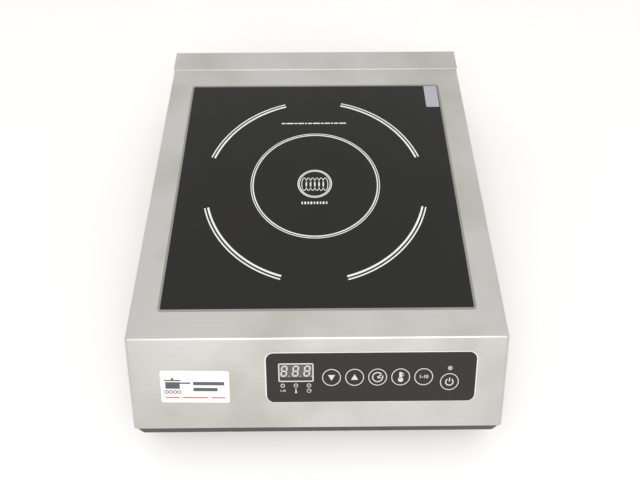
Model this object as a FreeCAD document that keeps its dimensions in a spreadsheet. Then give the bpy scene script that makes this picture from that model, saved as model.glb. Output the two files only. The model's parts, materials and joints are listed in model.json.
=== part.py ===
import FreeCAD, Part
import math
import os
import re

import Sketcher
from FreeCAD import Placement, Rotation, Vector

# A counter-top induction hob for a restaurant kitchen: a folded stainless case on a painted base
# pan, a ceramic glass plate, a control panel on the sloping front, and the coil, electronics and
# fans that they hide.  Millimetres, +Z up, the front faces -Y.  The origin is at the bottom centre of
# the whole object: Z = 0 is the table and X = 0 is the middle of the case.

SIZES = {
    # case
    "width": 330, "depth": 417, "gland_reach": 12,
    "foot_height": 15, "skirt_height": 40, "top_height": 102, "slope_angle": 45.5,
    "sheet": 1, "fold_radius": 3, "lip_depth": 12, "lap_depth": 30, "rear_flange": 12,
    # glass and its recess
    "glass_width": 276, "glass_depth": 272, "glass_thick": 4, "glass_corner": 1.5, "glass_edge": 0.6,
    "glass_margin": 27, "glass_proud": 0.5, "seal_gap": 2.2, "ledge_width": 11, "seal_bed": 0.5,
    # base pan, feet and fixings
    "pan_tab": 12, "pan_tab_length": 300, "pan_corner": 2,
    "foot_x": 132, "foot_inset": 42, "foot_radius": 15, "foot_toe": 13, "foot_recess": 7,
    "screw_radius": 2, "screw_hole": 2.1, "head_radius": 3.8, "head_height": 2.4, "nut_width": 7,
    "nut_height": 3.2, "nut_bore": 2.05,
    # control panel, in the plane of the slope: X across, down measured from the top fold
    "panel_width": 182, "panel_height": 47, "panel_x": 46.5, "panel_down": 37.5,
    "panel_thick": 1.2, "panel_corner": 6.5, "panel_rim": 5,
    "key_radius": 8.8, "key_gap": 0.15, "key_down": 37, "key_pitch": 20, "key_first_x": 12.1,
    "power_x": 114.7, "power_down": 42, "key_travel": 0.3,
    "plunger_radius": 3, "plunger_gap": 0.08, "tip_radius": 1.75,
    "window_width": 30, "window_height": 17, "window_x": -18.7, "window_down": 32,
    "lamp_radius": 1.5, "lamp_hole": 1.7, "lamp_first_x": -30.4, "lamp_pitch": 11.45,
    "lamp_down": 44.5, "power_lamp_down": 28.8,
    "carrier_plate": 2, "carrier_wall": 1.6, "carrier_depth": 15, "board_depth": 11,
    "board_thick": 1.6,
    # label and sticker
    "label_width": 60, "label_height": 31, "label_x": -107, "label_down": 45.5, "film": 0.2,
    "sticker_width": 14.5, "sticker_depth": 32,
    # fans
    "fan_x": 75, "fan_back": 45, "fan_side": 80, "fan_thick": 25, "fan_bore": 38.6, "fan_hub": 16.5,
    "fan_plate": 3, "fan_pitch": 71.5, "axle_radius": 2, "axle_gap": 0.05, "blade_count": 7,
    "blade_root": 13.5, "blade_tip": 36.8, "blade_thick": 1.2, "blade_camber": 1.8,
    "duct_wall": 1.5, "duct_top": 72,
    # coil stack, counted down from the glass
    "mica_thick": 0.6, "wire_height": 4, "carrier_thick": 3, "ferrite_thick": 4, "plate_thick": 1.5,
    "coil_inner": 31, "coil_pitch": 5.4, "wire_width": 4.6, "coil_turns": 14,
    "carrier_radius": 112, "hub_radius": 24, "sensor_hole": 9, "ferrite_length": 62,
    "ferrite_width": 12, "ferrite_start": 34, "ferrite_count": 8,
    "plate_width": 264, "plate_depth": 150, "plate_corner": 10, "post_x": 125, "post_y": 66,
    "post_radius": 4,
    # power board
    "power_width": 230, "power_depth": 120, "power_y": 66, "standoff": 7, "standoff_radius": 3.5,
    "sink_width": 110, "sink_depth": 70, "sink_base": 4, "sink_height": 32, "fin_thick": 2,
    "fin_count": 12, "can_x": 99, "can_y": 30, "can_pitch": 20, "can_radius": 7.5, "can_height": 25,
    "choke_x": 70, "choke_y": 98, "choke_radius": 14, "choke_width": 10, "choke_height": 14,
    "block_x": 60, "block_y": 160, "block_width": 36, "block_depth": 22, "block_height": 20,
    "well_radius": 2.2,
    # rear panel
    "vent_z": 48, "vent_width": 44, "vent_slot": 5, "vent_pitch_x": 54, "vent_pitch_z": 12,
    "vent_rows": 4, "vent_hood": 3, "gland_x": 132, "gland_z": 54, "gland_bore": 4.5,
    "gland_hole": 8, "gland_flange": 10.5, "side_screw_y": 115, "rear_screw_x": 140,
    "rear_screw_z": 28,
    "carrier_width": 178, "carrier_height": 43, "switch_side": 6.2, "switch_height": 3.5,
    "tip_end": -8.2, "plunger_end": -6, "ribbon_width": 20, "ribbon_plug": 8,
    "ribbon_thick": 1.2, "ribbon_floor": 19, "plug_back": 20, "lead_radius": 2, "lead_y": 114,
    "sensor_bead": 2, "sink_x": -37, "sink_y": 54, "package_thick": 5, "fan_rotor_z": 3,
    "fan_rotor_height": 18.6,
    # small fixings
    "intake_radius": 36, "intake_slots": 9, "intake_pitch": 7.6, "fan_screw_radius": 1.8,
    "small_screw": 1.25, "small_head": 2.6, "thick_under_head": 1.6, "stud_radius": 1.5, "stud_nut": 5.5,
}

# Places that several pieces share, worked out from the sizes above.
PLACES = {
    "front_y": "-(depth + gland_reach) / 2",
    "rear_y": "front_y + depth",
    "fold_y": "front_y + (top_height - skirt_height) / tan(slope_angle)",
    "glass_y": "fold_y + glass_margin + glass_depth / 2",
    "glass_top": "top_height + glass_proud",
    "glass_floor": "glass_top - glass_thick",
    "ledge_z": "glass_floor - seal_bed",
    "pan_top": "foot_height + sheet",
    "fan_y": "fold_y + fan_back",
    "coil_top": "glass_floor - mica_thick",
    "wire_z": "coil_top - wire_height",
    "carrier_z": "wire_z - carrier_thick",
    "ferrite_z": "carrier_z - ferrite_thick",
    "plate_z": "ferrite_z - plate_thick",
    "board_z": "pan_top + standoff",
    "parts_z": "board_z + board_thick",
    "board_w": "-board_depth",
}

doc = FreeCAD.newDocument("InductionHob")
sizes = doc.addObject("Spreadsheet::Sheet", "Sizes")
for row, (alias, number) in enumerate(SIZES.items(), start=1):
    sizes.set(f"A{row}", alias)
    sizes.set(f"B{row}", str(number))
    sizes.setAlias(f"B{row}", alias)
doc.recompute()

sub_parts = []

SIDE_SCREWS_Y = ("-side_screw_y", "side_screw_y")
REAR_SCREWS_X = ("-rear_screw_x", "0", "rear_screw_x")
FEET = {
    "foot_front_left": ("-foot_x", "front_y + foot_inset"),
    "foot_front_right": ("foot_x", "front_y + foot_inset"),
    "foot_rear_left": ("-foot_x", "rear_y - foot_inset"),
    "foot_rear_right": ("foot_x", "rear_y - foot_inset"),
}
FAN_SIDES = {"left": "-fan_x", "right": "fan_x"}
FAN_SCREWS = [(f"{x} + {sign}fan_pitch / 2", f"fan_y + {sign}fan_pitch / 2")
              for x in FAN_SIDES.values() for sign in ("-", "")]
POSTS = [(f"{sx}post_x", f"glass_y + {sy}post_y") for sx in ("-", "") for sy in ("-", "")]
BOARD_CORNERS = [(f"{sx}(power_width / 2 - 6)", f"power_y + {sy}(power_depth / 2 - 6)")
                 for sx in ("-", "") for sy in ("-", "")]
KEYS = {
    "key_down": ("key_first_x", "key_down"),
    "key_up": ("key_first_x + key_pitch", "key_down"),
    "key_timer": ("key_first_x + 2 * key_pitch", "key_down"),
    "key_temperature": ("key_first_x + 3 * key_pitch", "key_down"),
    "key_level": ("key_first_x + 4 * key_pitch", "key_down"),
    "key_power": ("power_x", "power_down"),
}
LAMPS = [("lamp_first_x", "lamp_down"), ("lamp_first_x + lamp_pitch", "lamp_down"),
         ("lamp_first_x + 2 * lamp_pitch", "lamp_down"), ("power_x", "power_lamp_down")]
CARRIER_PEGS = [(f"panel_x + {sx}(panel_width / 2 - 7.5)", f"panel_down + {sy}13")
                for sx in ("-", "") for sy in ("-", "")]
# Parts on the power board.  Packages: offset from the heatsink's middle, width, depth.  Blocks: x, y,
# width, depth, height.
PACKAGES = [(-34, 16, 21), (-8, 16, 21), (26, 28, 20)]
BOARD_BLOCKS = {
    "film_capacitors": [(62, 32, 42, 18, 36), (58, 58, 34, 18, 30)],
    "relay": [(-103, 34, 16, 20, 18)],
    "fuse_holder": [(-103, 66, 9, 26, 9)],
    "board_connectors": [(-60, 10, 8, 6, 8), (60, 10, 8, 6, 8), (-84, 116, 32, 12, 12),
                         (8, "lead_y", 10, 10, 10), (28, "lead_y", 10, 10, 10)],
}
CARRIER_STUDS = ["panel_x - panel_width / 2 - 2", "panel_x + panel_width / 2 + 2"]


# ---------------------------------------------------------------- helpers

def formula(text):
    """Turn a formula written with plain size names into a FreeCAD expression."""
    def spell_out(match):
        word = match.group(0)
        if word in PLACES:
            return "(" + formula(PLACES[word]) + ")"
        return "Sizes." + word if word in SIZES else word
    return re.sub(r"[A-Za-z_]\w*", spell_out, str(text))


def value(text):
    """The number that a formula gives."""
    return float(sizes.evalExpression(formula(text)))


def bind(thing, **formulas):
    """Tie properties to formulas; a double underscore stands for the dot of a nested property."""
    for name, text in formulas.items():
        thing.setExpression(name.replace("__", "."), formula(text))


def place(thing, x=0, y=0, z=0):
    bind(thing, Placement__Base__x=x, Placement__Base__y=y, Placement__Base__z=z)
    return thing


def place_on_slope(thing, x=0, down=0, lift=0):
    """Lay a piece's own XY plane on the front slope, at a distance down from the top fold."""
    thing.Placement = Placement(Vector(), Rotation(Vector(1, 0, 0), value("slope_angle")))
    bind(thing, Placement__Rotation__Angle="slope_angle")
    return place(
        thing, x,
        f"fold_y - ({down}) * cos(slope_angle) - ({lift}) * sin(slope_angle)",
        f"top_height - ({down}) * sin(slope_angle) + ({lift}) * cos(slope_angle)")


def keep(thing, label):
    """Name a finished sub-part, so that it is checked and written at the end."""
    thing.Label = label
    sub_parts.append(thing)
    return thing


def new_body(label):
    return keep(doc.addObject("PartDesign::Body", label), label)


def origin_piece(body, role):
    return next(piece for piece in body.Origin.OriginFeatures if piece.Role == role)


def sketch_on(body, role, name, lift=0):
    """A sketch on one of the body's own planes, moved along the plane's normal by lift."""
    sketch = body.newObject("Sketcher::SketchObject", name)
    sketch.AttachmentSupport = [(origin_piece(body, role), "")]
    sketch.MapMode = "FlatFace"
    bind(sketch, AttachmentOffset__Base__z=lift)
    return sketch


def fix_point(sketch, line, end, x, y):
    """Hold one end of a line, or a circle's centre, at two formulas."""
    for kind, text in (("DistanceX", x), ("DistanceY", y)):
        index = sketch.addConstraint(Sketcher.Constraint(kind, line, end, value(text)))
        sketch.setExpression(f"Constraints[{index}]", formula(text))


def outline(sketch, corners):
    """A closed outline of straight edges through corners that are pairs of formulas."""
    points = [Vector(value(x), value(y), 0) for x, y in corners]
    first = sketch.GeometryCount
    count = len(points)
    for index in range(count):
        sketch.addGeometry(Part.LineSegment(points[index], points[(index + 1) % count]))
    for index in range(count):
        following = first + (index + 1) % count
        sketch.addConstraint(Sketcher.Constraint("Coincident", first + index, 2, following, 1))
        fix_point(sketch, first + index, 1, *corners[index])


def rectangle(sketch, x, y, width, height):
    left, right = f"({x}) - ({width}) / 2", f"({x}) + ({width}) / 2"
    low, high = f"({y}) - ({height}) / 2", f"({y}) + ({height}) / 2"
    outline(sketch, [(left, low), (right, low), (right, high), (left, high)])


def circle(sketch, x, y, radius):
    index = sketch.addGeometry(
        Part.Circle(Vector(value(x), value(y), 0), Vector(0, 0, 1), value(radius)))
    size = sketch.addConstraint(Sketcher.Constraint("Radius", index, value(radius)))
    sketch.setExpression(f"Constraints[{size}]", formula(radius))
    fix_point(sketch, index, 3, x, y)


def rounded_rectangle(sketch, x, y, width, height, radius):
    """Four straight sides joined by tangent corner arcs of one radius."""
    half_w, half_h, r = value(width) / 2, value(height) / 2, value(radius)
    middle = Vector(value(x), value(y), 0)
    first = sketch.GeometryCount
    inner_w, inner_h = half_w - r, half_h - r
    sides = [((-inner_w, -half_h), (inner_w, -half_h)), ((half_w, -inner_h), (half_w, inner_h)),
             ((inner_w, half_h), (-inner_w, half_h)), ((-half_w, inner_h), (-half_w, -inner_h))]
    for start, end in sides:
        sketch.addGeometry(Part.LineSegment(middle + Vector(*start, 0), middle + Vector(*end, 0)))
    centres = [(inner_w, -inner_h), (inner_w, inner_h), (-inner_w, inner_h), (-inner_w, -inner_h)]
    for index, centre in enumerate(centres):
        full = Part.Circle(middle + Vector(*centre, 0), Vector(0, 0, 1), r)
        start = math.radians(-90 + 90 * index)
        sketch.addGeometry(Part.ArcOfCircle(full, start, start + math.pi / 2))
    for index in range(4):
        side, arc, following = first + index, first + 4 + index, first + (index + 1) % 4
        sketch.addConstraint(Sketcher.Constraint("Tangent", side, 2, arc, 1))
        sketch.addConstraint(Sketcher.Constraint("Tangent", arc, 2, following, 1))
    for index, kind in enumerate(("Horizontal", "Vertical", "Horizontal", "Vertical")):
        sketch.addConstraint(Sketcher.Constraint(kind, first + index))
    for index in range(1, 4):
        sketch.addConstraint(Sketcher.Constraint("Equal", first + 4, first + 4 + index))
    size = sketch.addConstraint(Sketcher.Constraint("Radius", first + 4, r))
    sketch.setExpression(f"Constraints[{size}]", formula(radius))
    limits = [("DistanceY", f"({y}) - ({height}) / 2"), ("DistanceX", f"({x}) + ({width}) / 2"),
              ("DistanceY", f"({y}) + ({height}) / 2"), ("DistanceX", f"({x}) - ({width}) / 2")]
    for index, (kind, text) in enumerate(limits):
        held = sketch.addConstraint(Sketcher.Constraint(kind, first + index, 1, value(text)))
        sketch.setExpression(f"Constraints[{held}]", formula(text))


def pad(body, sketch, length, both_ways=False, reverse=False):
    feature = body.newObject("PartDesign::Pad", "pad_" + sketch.Name)
    feature.Profile = sketch
    feature.Midplane = both_ways
    feature.Reversed = reverse
    bind(feature, Length=length)
    doc.recompute()
    return feature


def pocket(body, sketch, depth, both_ways=False):
    """Cut down from the sketch, against its normal, and make sure that something was cut."""
    before = body.Shape.Volume
    feature = body.newObject("PartDesign::Pocket", "cut_" + sketch.Name)
    feature.Profile = sketch
    feature.Midplane = both_ways
    bind(feature, Length=depth)
    doc.recompute()
    if body.Shape.Volume > before - 1e-6:
        raise RuntimeError(f"{feature.Name} cut nothing")
    return feature


def round_edges(body, feature, wanted, radius, kind="Fillet"):
    """Fillet or chamfer the edges of a feature whose middle point and direction are wanted."""
    names = []
    for index, edge in enumerate(feature.Shape.Edges, start=1):
        ends = [vertex.Point for vertex in edge.Vertexes]
        middle = edge.valueAt((edge.FirstParameter + edge.LastParameter) / 2)
        run = (ends[-1] - ends[0]).normalize() if (ends[-1] - ends[0]).Length > 1e-6 else Vector()
        if wanted(middle, run):
            names.append(f"Edge{index}")
    rounded = body.newObject("PartDesign::" + kind, "round_" + feature.Name)
    rounded.Base = (feature, names)
    if kind == "Fillet":
        bind(rounded, Radius=radius)
    else:
        bind(rounded, Size=radius)
    doc.recompute()
    return rounded


def polar(body, features, count):
    pattern = body.newObject("PartDesign::PolarPattern", "polar_" + body.Name)
    pattern.Originals = features
    pattern.Axis = (origin_piece(body, "Z_Axis"), [""])
    pattern.Angle = 360
    bind(pattern, Occurrences=count)
    body.Tip = pattern
    doc.recompute()
    return pattern


def linear(body, features, role, length, count):
    pattern = body.newObject("PartDesign::LinearPattern", "row_" + body.Name)
    pattern.Originals = features
    pattern.Direction = (origin_piece(body, role), [""])
    bind(pattern, Length=length, Occurrences=count)
    body.Tip = pattern
    doc.recompute()
    return pattern


def near(first, second, slack=1e-3):
    return abs(first - second) < slack


def box(x, y, z, width, depth, height):
    """A block centred on X and Y that stands on Z."""
    block = doc.addObject("Part::Box", "block")
    bind(block, Length=width, Width=depth, Height=height)
    return place(block, f"({x}) - ({width}) / 2", f"({y}) - ({depth}) / 2", z)


def cylinder(x, y, z, radius, height):
    rod = doc.addObject("Part::Cylinder", "rod")
    bind(rod, Radius=radius, Height=height)
    return place(rod, x, y, z)


def fused(pieces):
    whole = doc.addObject("Part::MultiFuse", "fused")
    whole.Shapes = pieces
    return whole


def bored(solid, tool):
    cut = doc.addObject("Part::Cut", "bored")
    cut.Base = solid
    cut.Tool = tool
    return cut


def group(pieces, label):
    """Like pieces that stay separate solids in one sub-part."""
    whole = doc.addObject("Part::Compound", label)
    whole.Links = pieces
    return keep(whole, label)


def revolve(body, sketch):
    turned = body.newObject("PartDesign::Revolution", "turned_" + sketch.Name)
    turned.Profile = sketch
    turned.ReferenceAxis = (origin_piece(body, "Z_Axis"), [""])
    turned.Angle = 360
    doc.recompute()
    return turned


def screw(x, y, z, length, radius="screw_radius", head="head_radius", height="head_height"):
    """A pan-head screw that points up, with the face under its head at z."""
    return fused([cylinder(x, y, f"({z}) - {height}", head, height),
                  cylinder(x, y, z, radius, length)])


def level_screw(axis, sign, x, y, z, length):
    """A pan-head screw driven along an axis; x, y, z is the point under its head."""
    into = Rotation(Vector(0, 0, 1), axis * sign)
    rods = []
    for turn, radius, height in ((into, "screw_radius", length),
                                 (Rotation(Vector(0, 0, 1), axis * -sign), "head_radius",
                                  "head_height")):
        rod = doc.addObject("Part::Cylinder", "rod")
        rod.Placement = Placement(Vector(), turn)
        bind(rod, Radius=radius, Height=height)
        rods.append(place(rod, x, y, z))
    return fused(rods)


def top_screw(x, y, z, length, radius, head):
    """A pan-head screw that points down, with the face under its head at z."""
    return fused([cylinder(x, y, z, head, "0.6 * head_height"),
                  cylinder(x, y, f"({z}) - ({length})", radius, length)])


def nut(x, y, z, width="nut_width", height="nut_height", bore="nut_bore"):
    prism = doc.addObject("Part::Prism", "nut_blank")
    prism.Polygon = 6
    bind(prism, Circumradius=f"{width} / sqrt(3)", Height=height)
    place(prism, x, y, z)
    return bored(prism, cylinder(x, y, f"({z}) - 1", bore, f"{height} + 2"))


def slope_box(x, down, lift, width, height, thick):
    """A block on the slope, centred on x and down, whose lowest face is lift above the sheet."""
    block = doc.addObject("Part::Box", "slope_block")
    bind(block, Length=width, Width=height, Height=thick)
    return place_on_slope(block, f"({x}) - ({width}) / 2", f"({down}) + ({height}) / 2", lift)


def slope_rod(x, down, lift, radius, length):
    rod = doc.addObject("Part::Cylinder", "slope_rod")
    bind(rod, Radius=radius, Height=length)
    return place_on_slope(rod, x, down, lift)


# ---------------------------------------------------------------- case

def make_housing():
    """One folded and welded sheet: top, front slope and sides, with a stamped recess for the glass."""
    body = new_body("housing")
    side = sketch_on(body, "YZ_Plane", "side_profile")
    outline(side, [("front_y", "skirt_height"), ("fold_y", "top_height"),
                   ("rear_y - sheet", "top_height"), ("rear_y - sheet", "skirt_height")])
    block = pad(body, side, "width", both_ways=True)
    low, rear = value("skirt_height"), value("rear_y - sheet")
    folded = round_edges(
        body, block,
        lambda middle, run: not near(middle.y, rear) and not (near(middle.z, low) and near(run.z, 0)),
        "fold_radius")

    inside = sketch_on(body, "YZ_Plane", "inner_profile")
    outline(inside, [
        ("front_y + sheet / tan(slope_angle / 2)", "skirt_height + sheet"),
        ("fold_y + sheet * tan(slope_angle / 2)", "top_height - sheet"),
        ("rear_y", "top_height - sheet"),
        ("rear_y", "skirt_height - sheet"),
        ("front_y + lip_depth", "skirt_height - sheet"),
        ("front_y + lip_depth", "skirt_height + sheet")])
    hollow = pocket(body, inside, "width - 2 * sheet", both_ways=True)
    wall, fold = value("width / 2 - sheet"), value("fold_y + sheet * tan(slope_angle / 2)")
    under_top = value("top_height - sheet")
    round_edges(
        body, hollow,
        lambda middle, run: (near(abs(middle.x), wall) and middle.z > low + 10 and not near(run.z, 1)
                             and not near(middle.y, rear)) or (
                                 near(middle.y, fold, 0.01) and near(middle.z, under_top, 0.01)),
        "fold_radius - sheet")

    dish = sketch_on(body, "XY_Plane", "recess_wall", "ledge_z - sheet")
    rounded_rectangle(dish, 0, "glass_y", "glass_width + 2 * (seal_gap + sheet)",
                      "glass_depth + 2 * (seal_gap + sheet)", "glass_corner + seal_gap + sheet")
    pad(body, dish, "top_height - ledge_z + sheet / 2")
    mouth = sketch_on(body, "XY_Plane", "recess_mouth", "top_height")
    rounded_rectangle(mouth, 0, "glass_y", "glass_width + 2 * seal_gap",
                      "glass_depth + 2 * seal_gap", "glass_corner + seal_gap")
    pocket(body, mouth, "top_height - ledge_z")
    well = sketch_on(body, "XY_Plane", "coil_opening", "top_height")
    rounded_rectangle(well, 0, "glass_y", "glass_width - 2 * ledge_width",
                      "glass_depth - 2 * ledge_width", "glass_corner")
    pocket(body, well, "top_height - ledge_z + 2 * sheet")

    panel = sketch_on(body, "XY_Plane", "panel_opening")
    panel.AttachmentOffset = Placement(Vector(), Rotation(Vector(1, 0, 0), value("slope_angle")))
    bind(panel, AttachmentOffset__Rotation__Angle="slope_angle", AttachmentOffset__Base__y="fold_y",
         AttachmentOffset__Base__z="top_height")
    rounded_rectangle(panel, "panel_x", "-panel_down", "panel_width - 2 * panel_rim",
                      "panel_height - 2 * panel_rim", "panel_corner - panel_rim / 2")
    pocket(body, panel, "4 * sheet", both_ways=True)

    holes = sketch_on(body, "YZ_Plane", "side_screw_holes")
    for along in SIDE_SCREWS_Y:
        circle(holes, along, "skirt_height + pan_tab / 2", "screw_hole")
    pocket(body, holes, "width + 2", both_ways=True)

    studs = sketch_on(body, "XY_Plane", "panel_studs")
    studs.AttachmentOffset = panel.AttachmentOffset
    bind(studs, AttachmentOffset__Rotation__Angle="slope_angle",
         AttachmentOffset__Base__y="fold_y + sheet / 2 * sin(slope_angle)",
         AttachmentOffset__Base__z="top_height - sheet / 2 * cos(slope_angle)")
    for across in CARRIER_STUDS:
        circle(studs, across, "-panel_down", "stud_radius")
    pad(body, studs, "8 * sheet", reverse=True)
    return body


def make_rear_panel():
    """The rear wall with its top flange lapped over the top sheet, pressed vents and cable hole."""
    body = new_body("rear_panel")
    profile = sketch_on(body, "YZ_Plane", "rear_profile")
    outline(profile, [
        ("rear_y - sheet", "foot_height + 2"), ("rear_y", "foot_height + 2"),
        ("rear_y", "top_height + sheet"), ("rear_y - lap_depth", "top_height + sheet"),
        ("rear_y - lap_depth", "top_height"), ("rear_y - sheet", "top_height")])
    wall = pad(body, profile, "width", both_ways=True)
    back, top = value("rear_y"), value("top_height + sheet")
    bent = round_edges(body, wall,
                       lambda middle, run: near(middle.y, back) and near(middle.z, top),
                       "fold_radius / 2")
    lap = value("rear_y - lap_depth")
    round_edges(body, bent, lambda middle, run: near(middle.y, lap) and near(middle.z, top),
                "0.6 * sheet")

    flanges = sketch_on(body, "XY_Plane", "side_flanges", "skirt_height + pan_tab + 2")
    for sign in ("-", ""):
        rectangle(flanges, f"{sign}(width / 2 - 1.5 * sheet)", "rear_y - sheet - rear_flange / 2",
                  "sheet", "rear_flange")
    pad(body, flanges, "top_height - skirt_height - pan_tab - sheet - 6")

    vents = []
    for column in (-1.5, -0.5, 0.5, 1.5):
        middle = f"{column} * vent_pitch_x"
        hood = sketch_on(body, "YZ_Plane", "vent_hood", middle)
        outline(hood, [("rear_y - sheet / 2", "vent_z"), ("rear_y + vent_hood", "vent_z"),
                       ("rear_y + vent_hood", "vent_z + sheet"),
                       ("rear_y - sheet / 2", "vent_z + vent_slot + 1.5 * sheet")])
        vents.append(pad(body, hood, "vent_width", both_ways=True))
        throat = sketch_on(body, "YZ_Plane", "vent_throat", middle)
        outline(throat, [("rear_y - 2 * sheet", "vent_z"), ("rear_y", "vent_z"),
                         ("rear_y", "vent_z - sheet"),
                         ("rear_y + vent_hood - sheet", "vent_z - sheet"),
                         ("rear_y + vent_hood - sheet", "vent_z + sheet / 2"),
                         ("rear_y - sheet", "vent_z + vent_slot"),
                         ("rear_y - 2 * sheet", "vent_z + vent_slot")])
        vents.append(pocket(body, throat, "vent_width - 2 * sheet", both_ways=True))
    linear(body, vents, "Z_Axis", "(vent_rows - 1) * vent_pitch_z", "vent_rows")

    holes = sketch_on(body, "XZ_Plane", "rear_holes", "-rear_y")
    circle(holes, "gland_x", "gland_z", "gland_hole")
    for across in REAR_SCREWS_X:
        circle(holes, across, "rear_screw_z", "screw_hole")
    pocket(body, holes, "4 * sheet", both_ways=True)
    return body


def make_base_pan():
    """Painted tray under the case: walls, side tabs inside the case, and slots under each fan."""
    body = new_body("base_pan")
    middle = "(front_y + rear_y) / 2"
    floor = sketch_on(body, "XY_Plane", "pan_outline", "foot_height")
    rounded_rectangle(floor, 0, middle, "width - 2 * sheet", "depth - 2 * sheet", "pan_corner")
    tray = pad(body, floor, "skirt_height - foot_height")
    low = value("foot_height")
    round_edges(body, tray, lambda point, run: near(point.z, low), "sheet")
    inside = sketch_on(body, "XY_Plane", "pan_inside", "skirt_height")
    rounded_rectangle(inside, 0, middle, "width - 4 * sheet", "depth - 4 * sheet",
                      "pan_corner - sheet / 2")
    pocket(body, inside, "skirt_height - pan_top")
    lip = sketch_on(body, "XY_Plane", "front_lip", "skirt_height - sheet")
    rectangle(lip, 0, "front_y + (sheet + lip_depth) / 2", "width - 3 * sheet", "lip_depth - sheet")
    pad(body, lip, "sheet")
    tabs = sketch_on(body, "XY_Plane", "side_tabs", "skirt_height - sheet")
    for sign in ("-", ""):
        rectangle(tabs, f"{sign}(width / 2 - 1.5 * sheet)", middle, "sheet", "pan_tab_length")
    pad(body, tabs, "pan_tab + sheet")

    slots = sketch_on(body, "XY_Plane", "intake_slots", "pan_top")
    half = value("intake_slots") // 2
    for sign in ("-", ""):
        for index in range(int(-half), int(half) + 1):
            along = f"{index} * intake_pitch"
            rectangle(slots, f"{sign}fan_x", f"fan_y + {along}",
                      f"2 * sqrt(intake_radius ^ 2 - ({along}) ^ 2)", "intake_pitch / 2")
    pocket(body, slots, "2 * sheet")

    holes = sketch_on(body, "XY_Plane", "floor_holes", "pan_top")
    for x, y in FEET.values():
        circle(holes, x, y, "screw_hole")
    for x, y in FAN_SCREWS:
        circle(holes, x, y, "fan_screw_radius + 0.1")
    pocket(body, holes, "2 * sheet")
    side_holes = sketch_on(body, "YZ_Plane", "side_screw_holes")
    for along in SIDE_SCREWS_Y:
        circle(side_holes, along, "skirt_height + pan_tab / 2", "screw_hole")
    pocket(body, side_holes, "width", both_ways=True)
    rear_holes = sketch_on(body, "XZ_Plane", "rear_screw_holes", "-rear_y")
    for across in REAR_SCREWS_X:
        circle(rear_holes, across, "rear_screw_z", "screw_hole")
    pocket(body, rear_holes, "5 * sheet", both_ways=True)
    return body


def make_foot(label, x, y):
    """Tapered rubber foot with a recess for its screw."""
    body = new_body(label)
    profile = sketch_on(body, "XZ_Plane", "foot_profile")
    outline(profile, [("screw_hole", "foot_recess"), ("head_radius + 0.7", "foot_recess"),
                      ("head_radius + 1.7", 0), ("foot_toe", 0), ("foot_toe + 1", 1.5),
                      ("foot_radius", "foot_height - 3"), ("foot_radius", "foot_height"),
                      ("screw_hole", "foot_height")])
    revolve(body, profile)
    place(body, x, y, 0)


def make_glass():
    """Ceramic glass plate with ground edges, bedded in a silicone ring in the case's recess."""
    plate = new_body("glass_plate")
    outline_sketch = sketch_on(plate, "XY_Plane", "glass_outline", "glass_floor")
    rounded_rectangle(outline_sketch, 0, "glass_y", "glass_width", "glass_depth", "glass_corner")
    slab = pad(plate, outline_sketch, "glass_thick")
    top = value("glass_top")
    round_edges(plate, slab, lambda point, run: near(point.z, top), "glass_edge", "Chamfer")

    seal = new_body("glass_seal")
    bed = sketch_on(seal, "XY_Plane", "seal_bed", "ledge_z")
    ring = sketch_on(seal, "XY_Plane", "seal_ring", "glass_floor")
    for sketch in (bed, ring):
        rounded_rectangle(sketch, 0, "glass_y", "glass_width + 2 * seal_gap",
                          "glass_depth + 2 * seal_gap", "glass_corner + seal_gap")
    rounded_rectangle(bed, 0, "glass_y", "glass_width - 16", "glass_depth - 16", "glass_corner")
    rounded_rectangle(ring, 0, "glass_y", "glass_width", "glass_depth", "glass_corner")
    pad(seal, bed, "seal_bed")
    pad(seal, ring, "top_height + 0.1 - glass_floor")

    sticker = new_body("glass_sticker")
    edge = sketch_on(sticker, "XY_Plane", "sticker_outline", "glass_top")
    rounded_rectangle(edge, "glass_width / 2 - 1 - sticker_width / 2",
                      "glass_y + glass_depth / 2 - 1 - sticker_depth / 2",
                      "sticker_width", "sticker_depth", "0.8")
    pad(sticker, edge, "film")


def make_foot_fixings():
    screws = [screw(x, y, "foot_recess", "foot_height - foot_recess + 7") for x, y in FEET.values()]
    group(screws, "foot_screws")
    group([nut(x, y, "pan_top") for x, y in FEET.values()], "foot_nuts")


def make_case_screws():
    """Pan heads through the case sides into the pan's tabs, and through the rear panel."""
    across = Vector(1, 0, 0)
    sides = [level_screw(across, -sign, f"{sign} * width / 2", along,
                         "skirt_height + pan_tab / 2", "6 * sheet")
             for sign in (-1, 1) for along in SIDE_SCREWS_Y]
    group(sides, "side_screws")
    rear = [level_screw(Vector(0, 1, 0), -1, place_x, "rear_y", "rear_screw_z", "6 * sheet")
            for place_x in REAR_SCREWS_X]
    group(rear, "rear_screws")


# ---------------------------------------------------------------- control panel

def make_label():
    """Vinyl label stuck a little askew on the slope."""
    body = new_body("front_label")
    edge = sketch_on(body, "XY_Plane", "label_outline")
    edge.AttachmentOffset = Placement(Vector(), Rotation(Vector(0, 0, 1), -1))
    rounded_rectangle(edge, 0, 0, "label_width", "label_height", 2)
    pad(body, edge, "film")
    place_on_slope(body, "label_x", "label_down")


def make_overlay():
    """Moulded control fascia bonded on the slope, open at the keys, the display and the lamps."""
    body = new_body("control_overlay")
    edge = sketch_on(body, "XY_Plane", "panel_outline")
    rounded_rectangle(edge, "panel_x", "-panel_down", "panel_width", "panel_height",
                      "panel_corner")
    fascia = pad(body, edge, "panel_thick")
    top = value("panel_thick")
    round_edges(body, fascia, lambda point, run: near(point.z, top), "0.3", "Chamfer")
    openings = sketch_on(body, "XY_Plane", "panel_openings", "panel_thick")
    for x, down in KEYS.values():
        circle(openings, x, f"-({down})", "key_radius + key_gap")
    for x, down in LAMPS:
        circle(openings, x, f"-({down})", "lamp_hole")
    rectangle(openings, "window_x", "-window_down", "window_width", "window_height")
    pocket(body, openings, "2 * panel_thick")
    place_on_slope(body)


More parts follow.
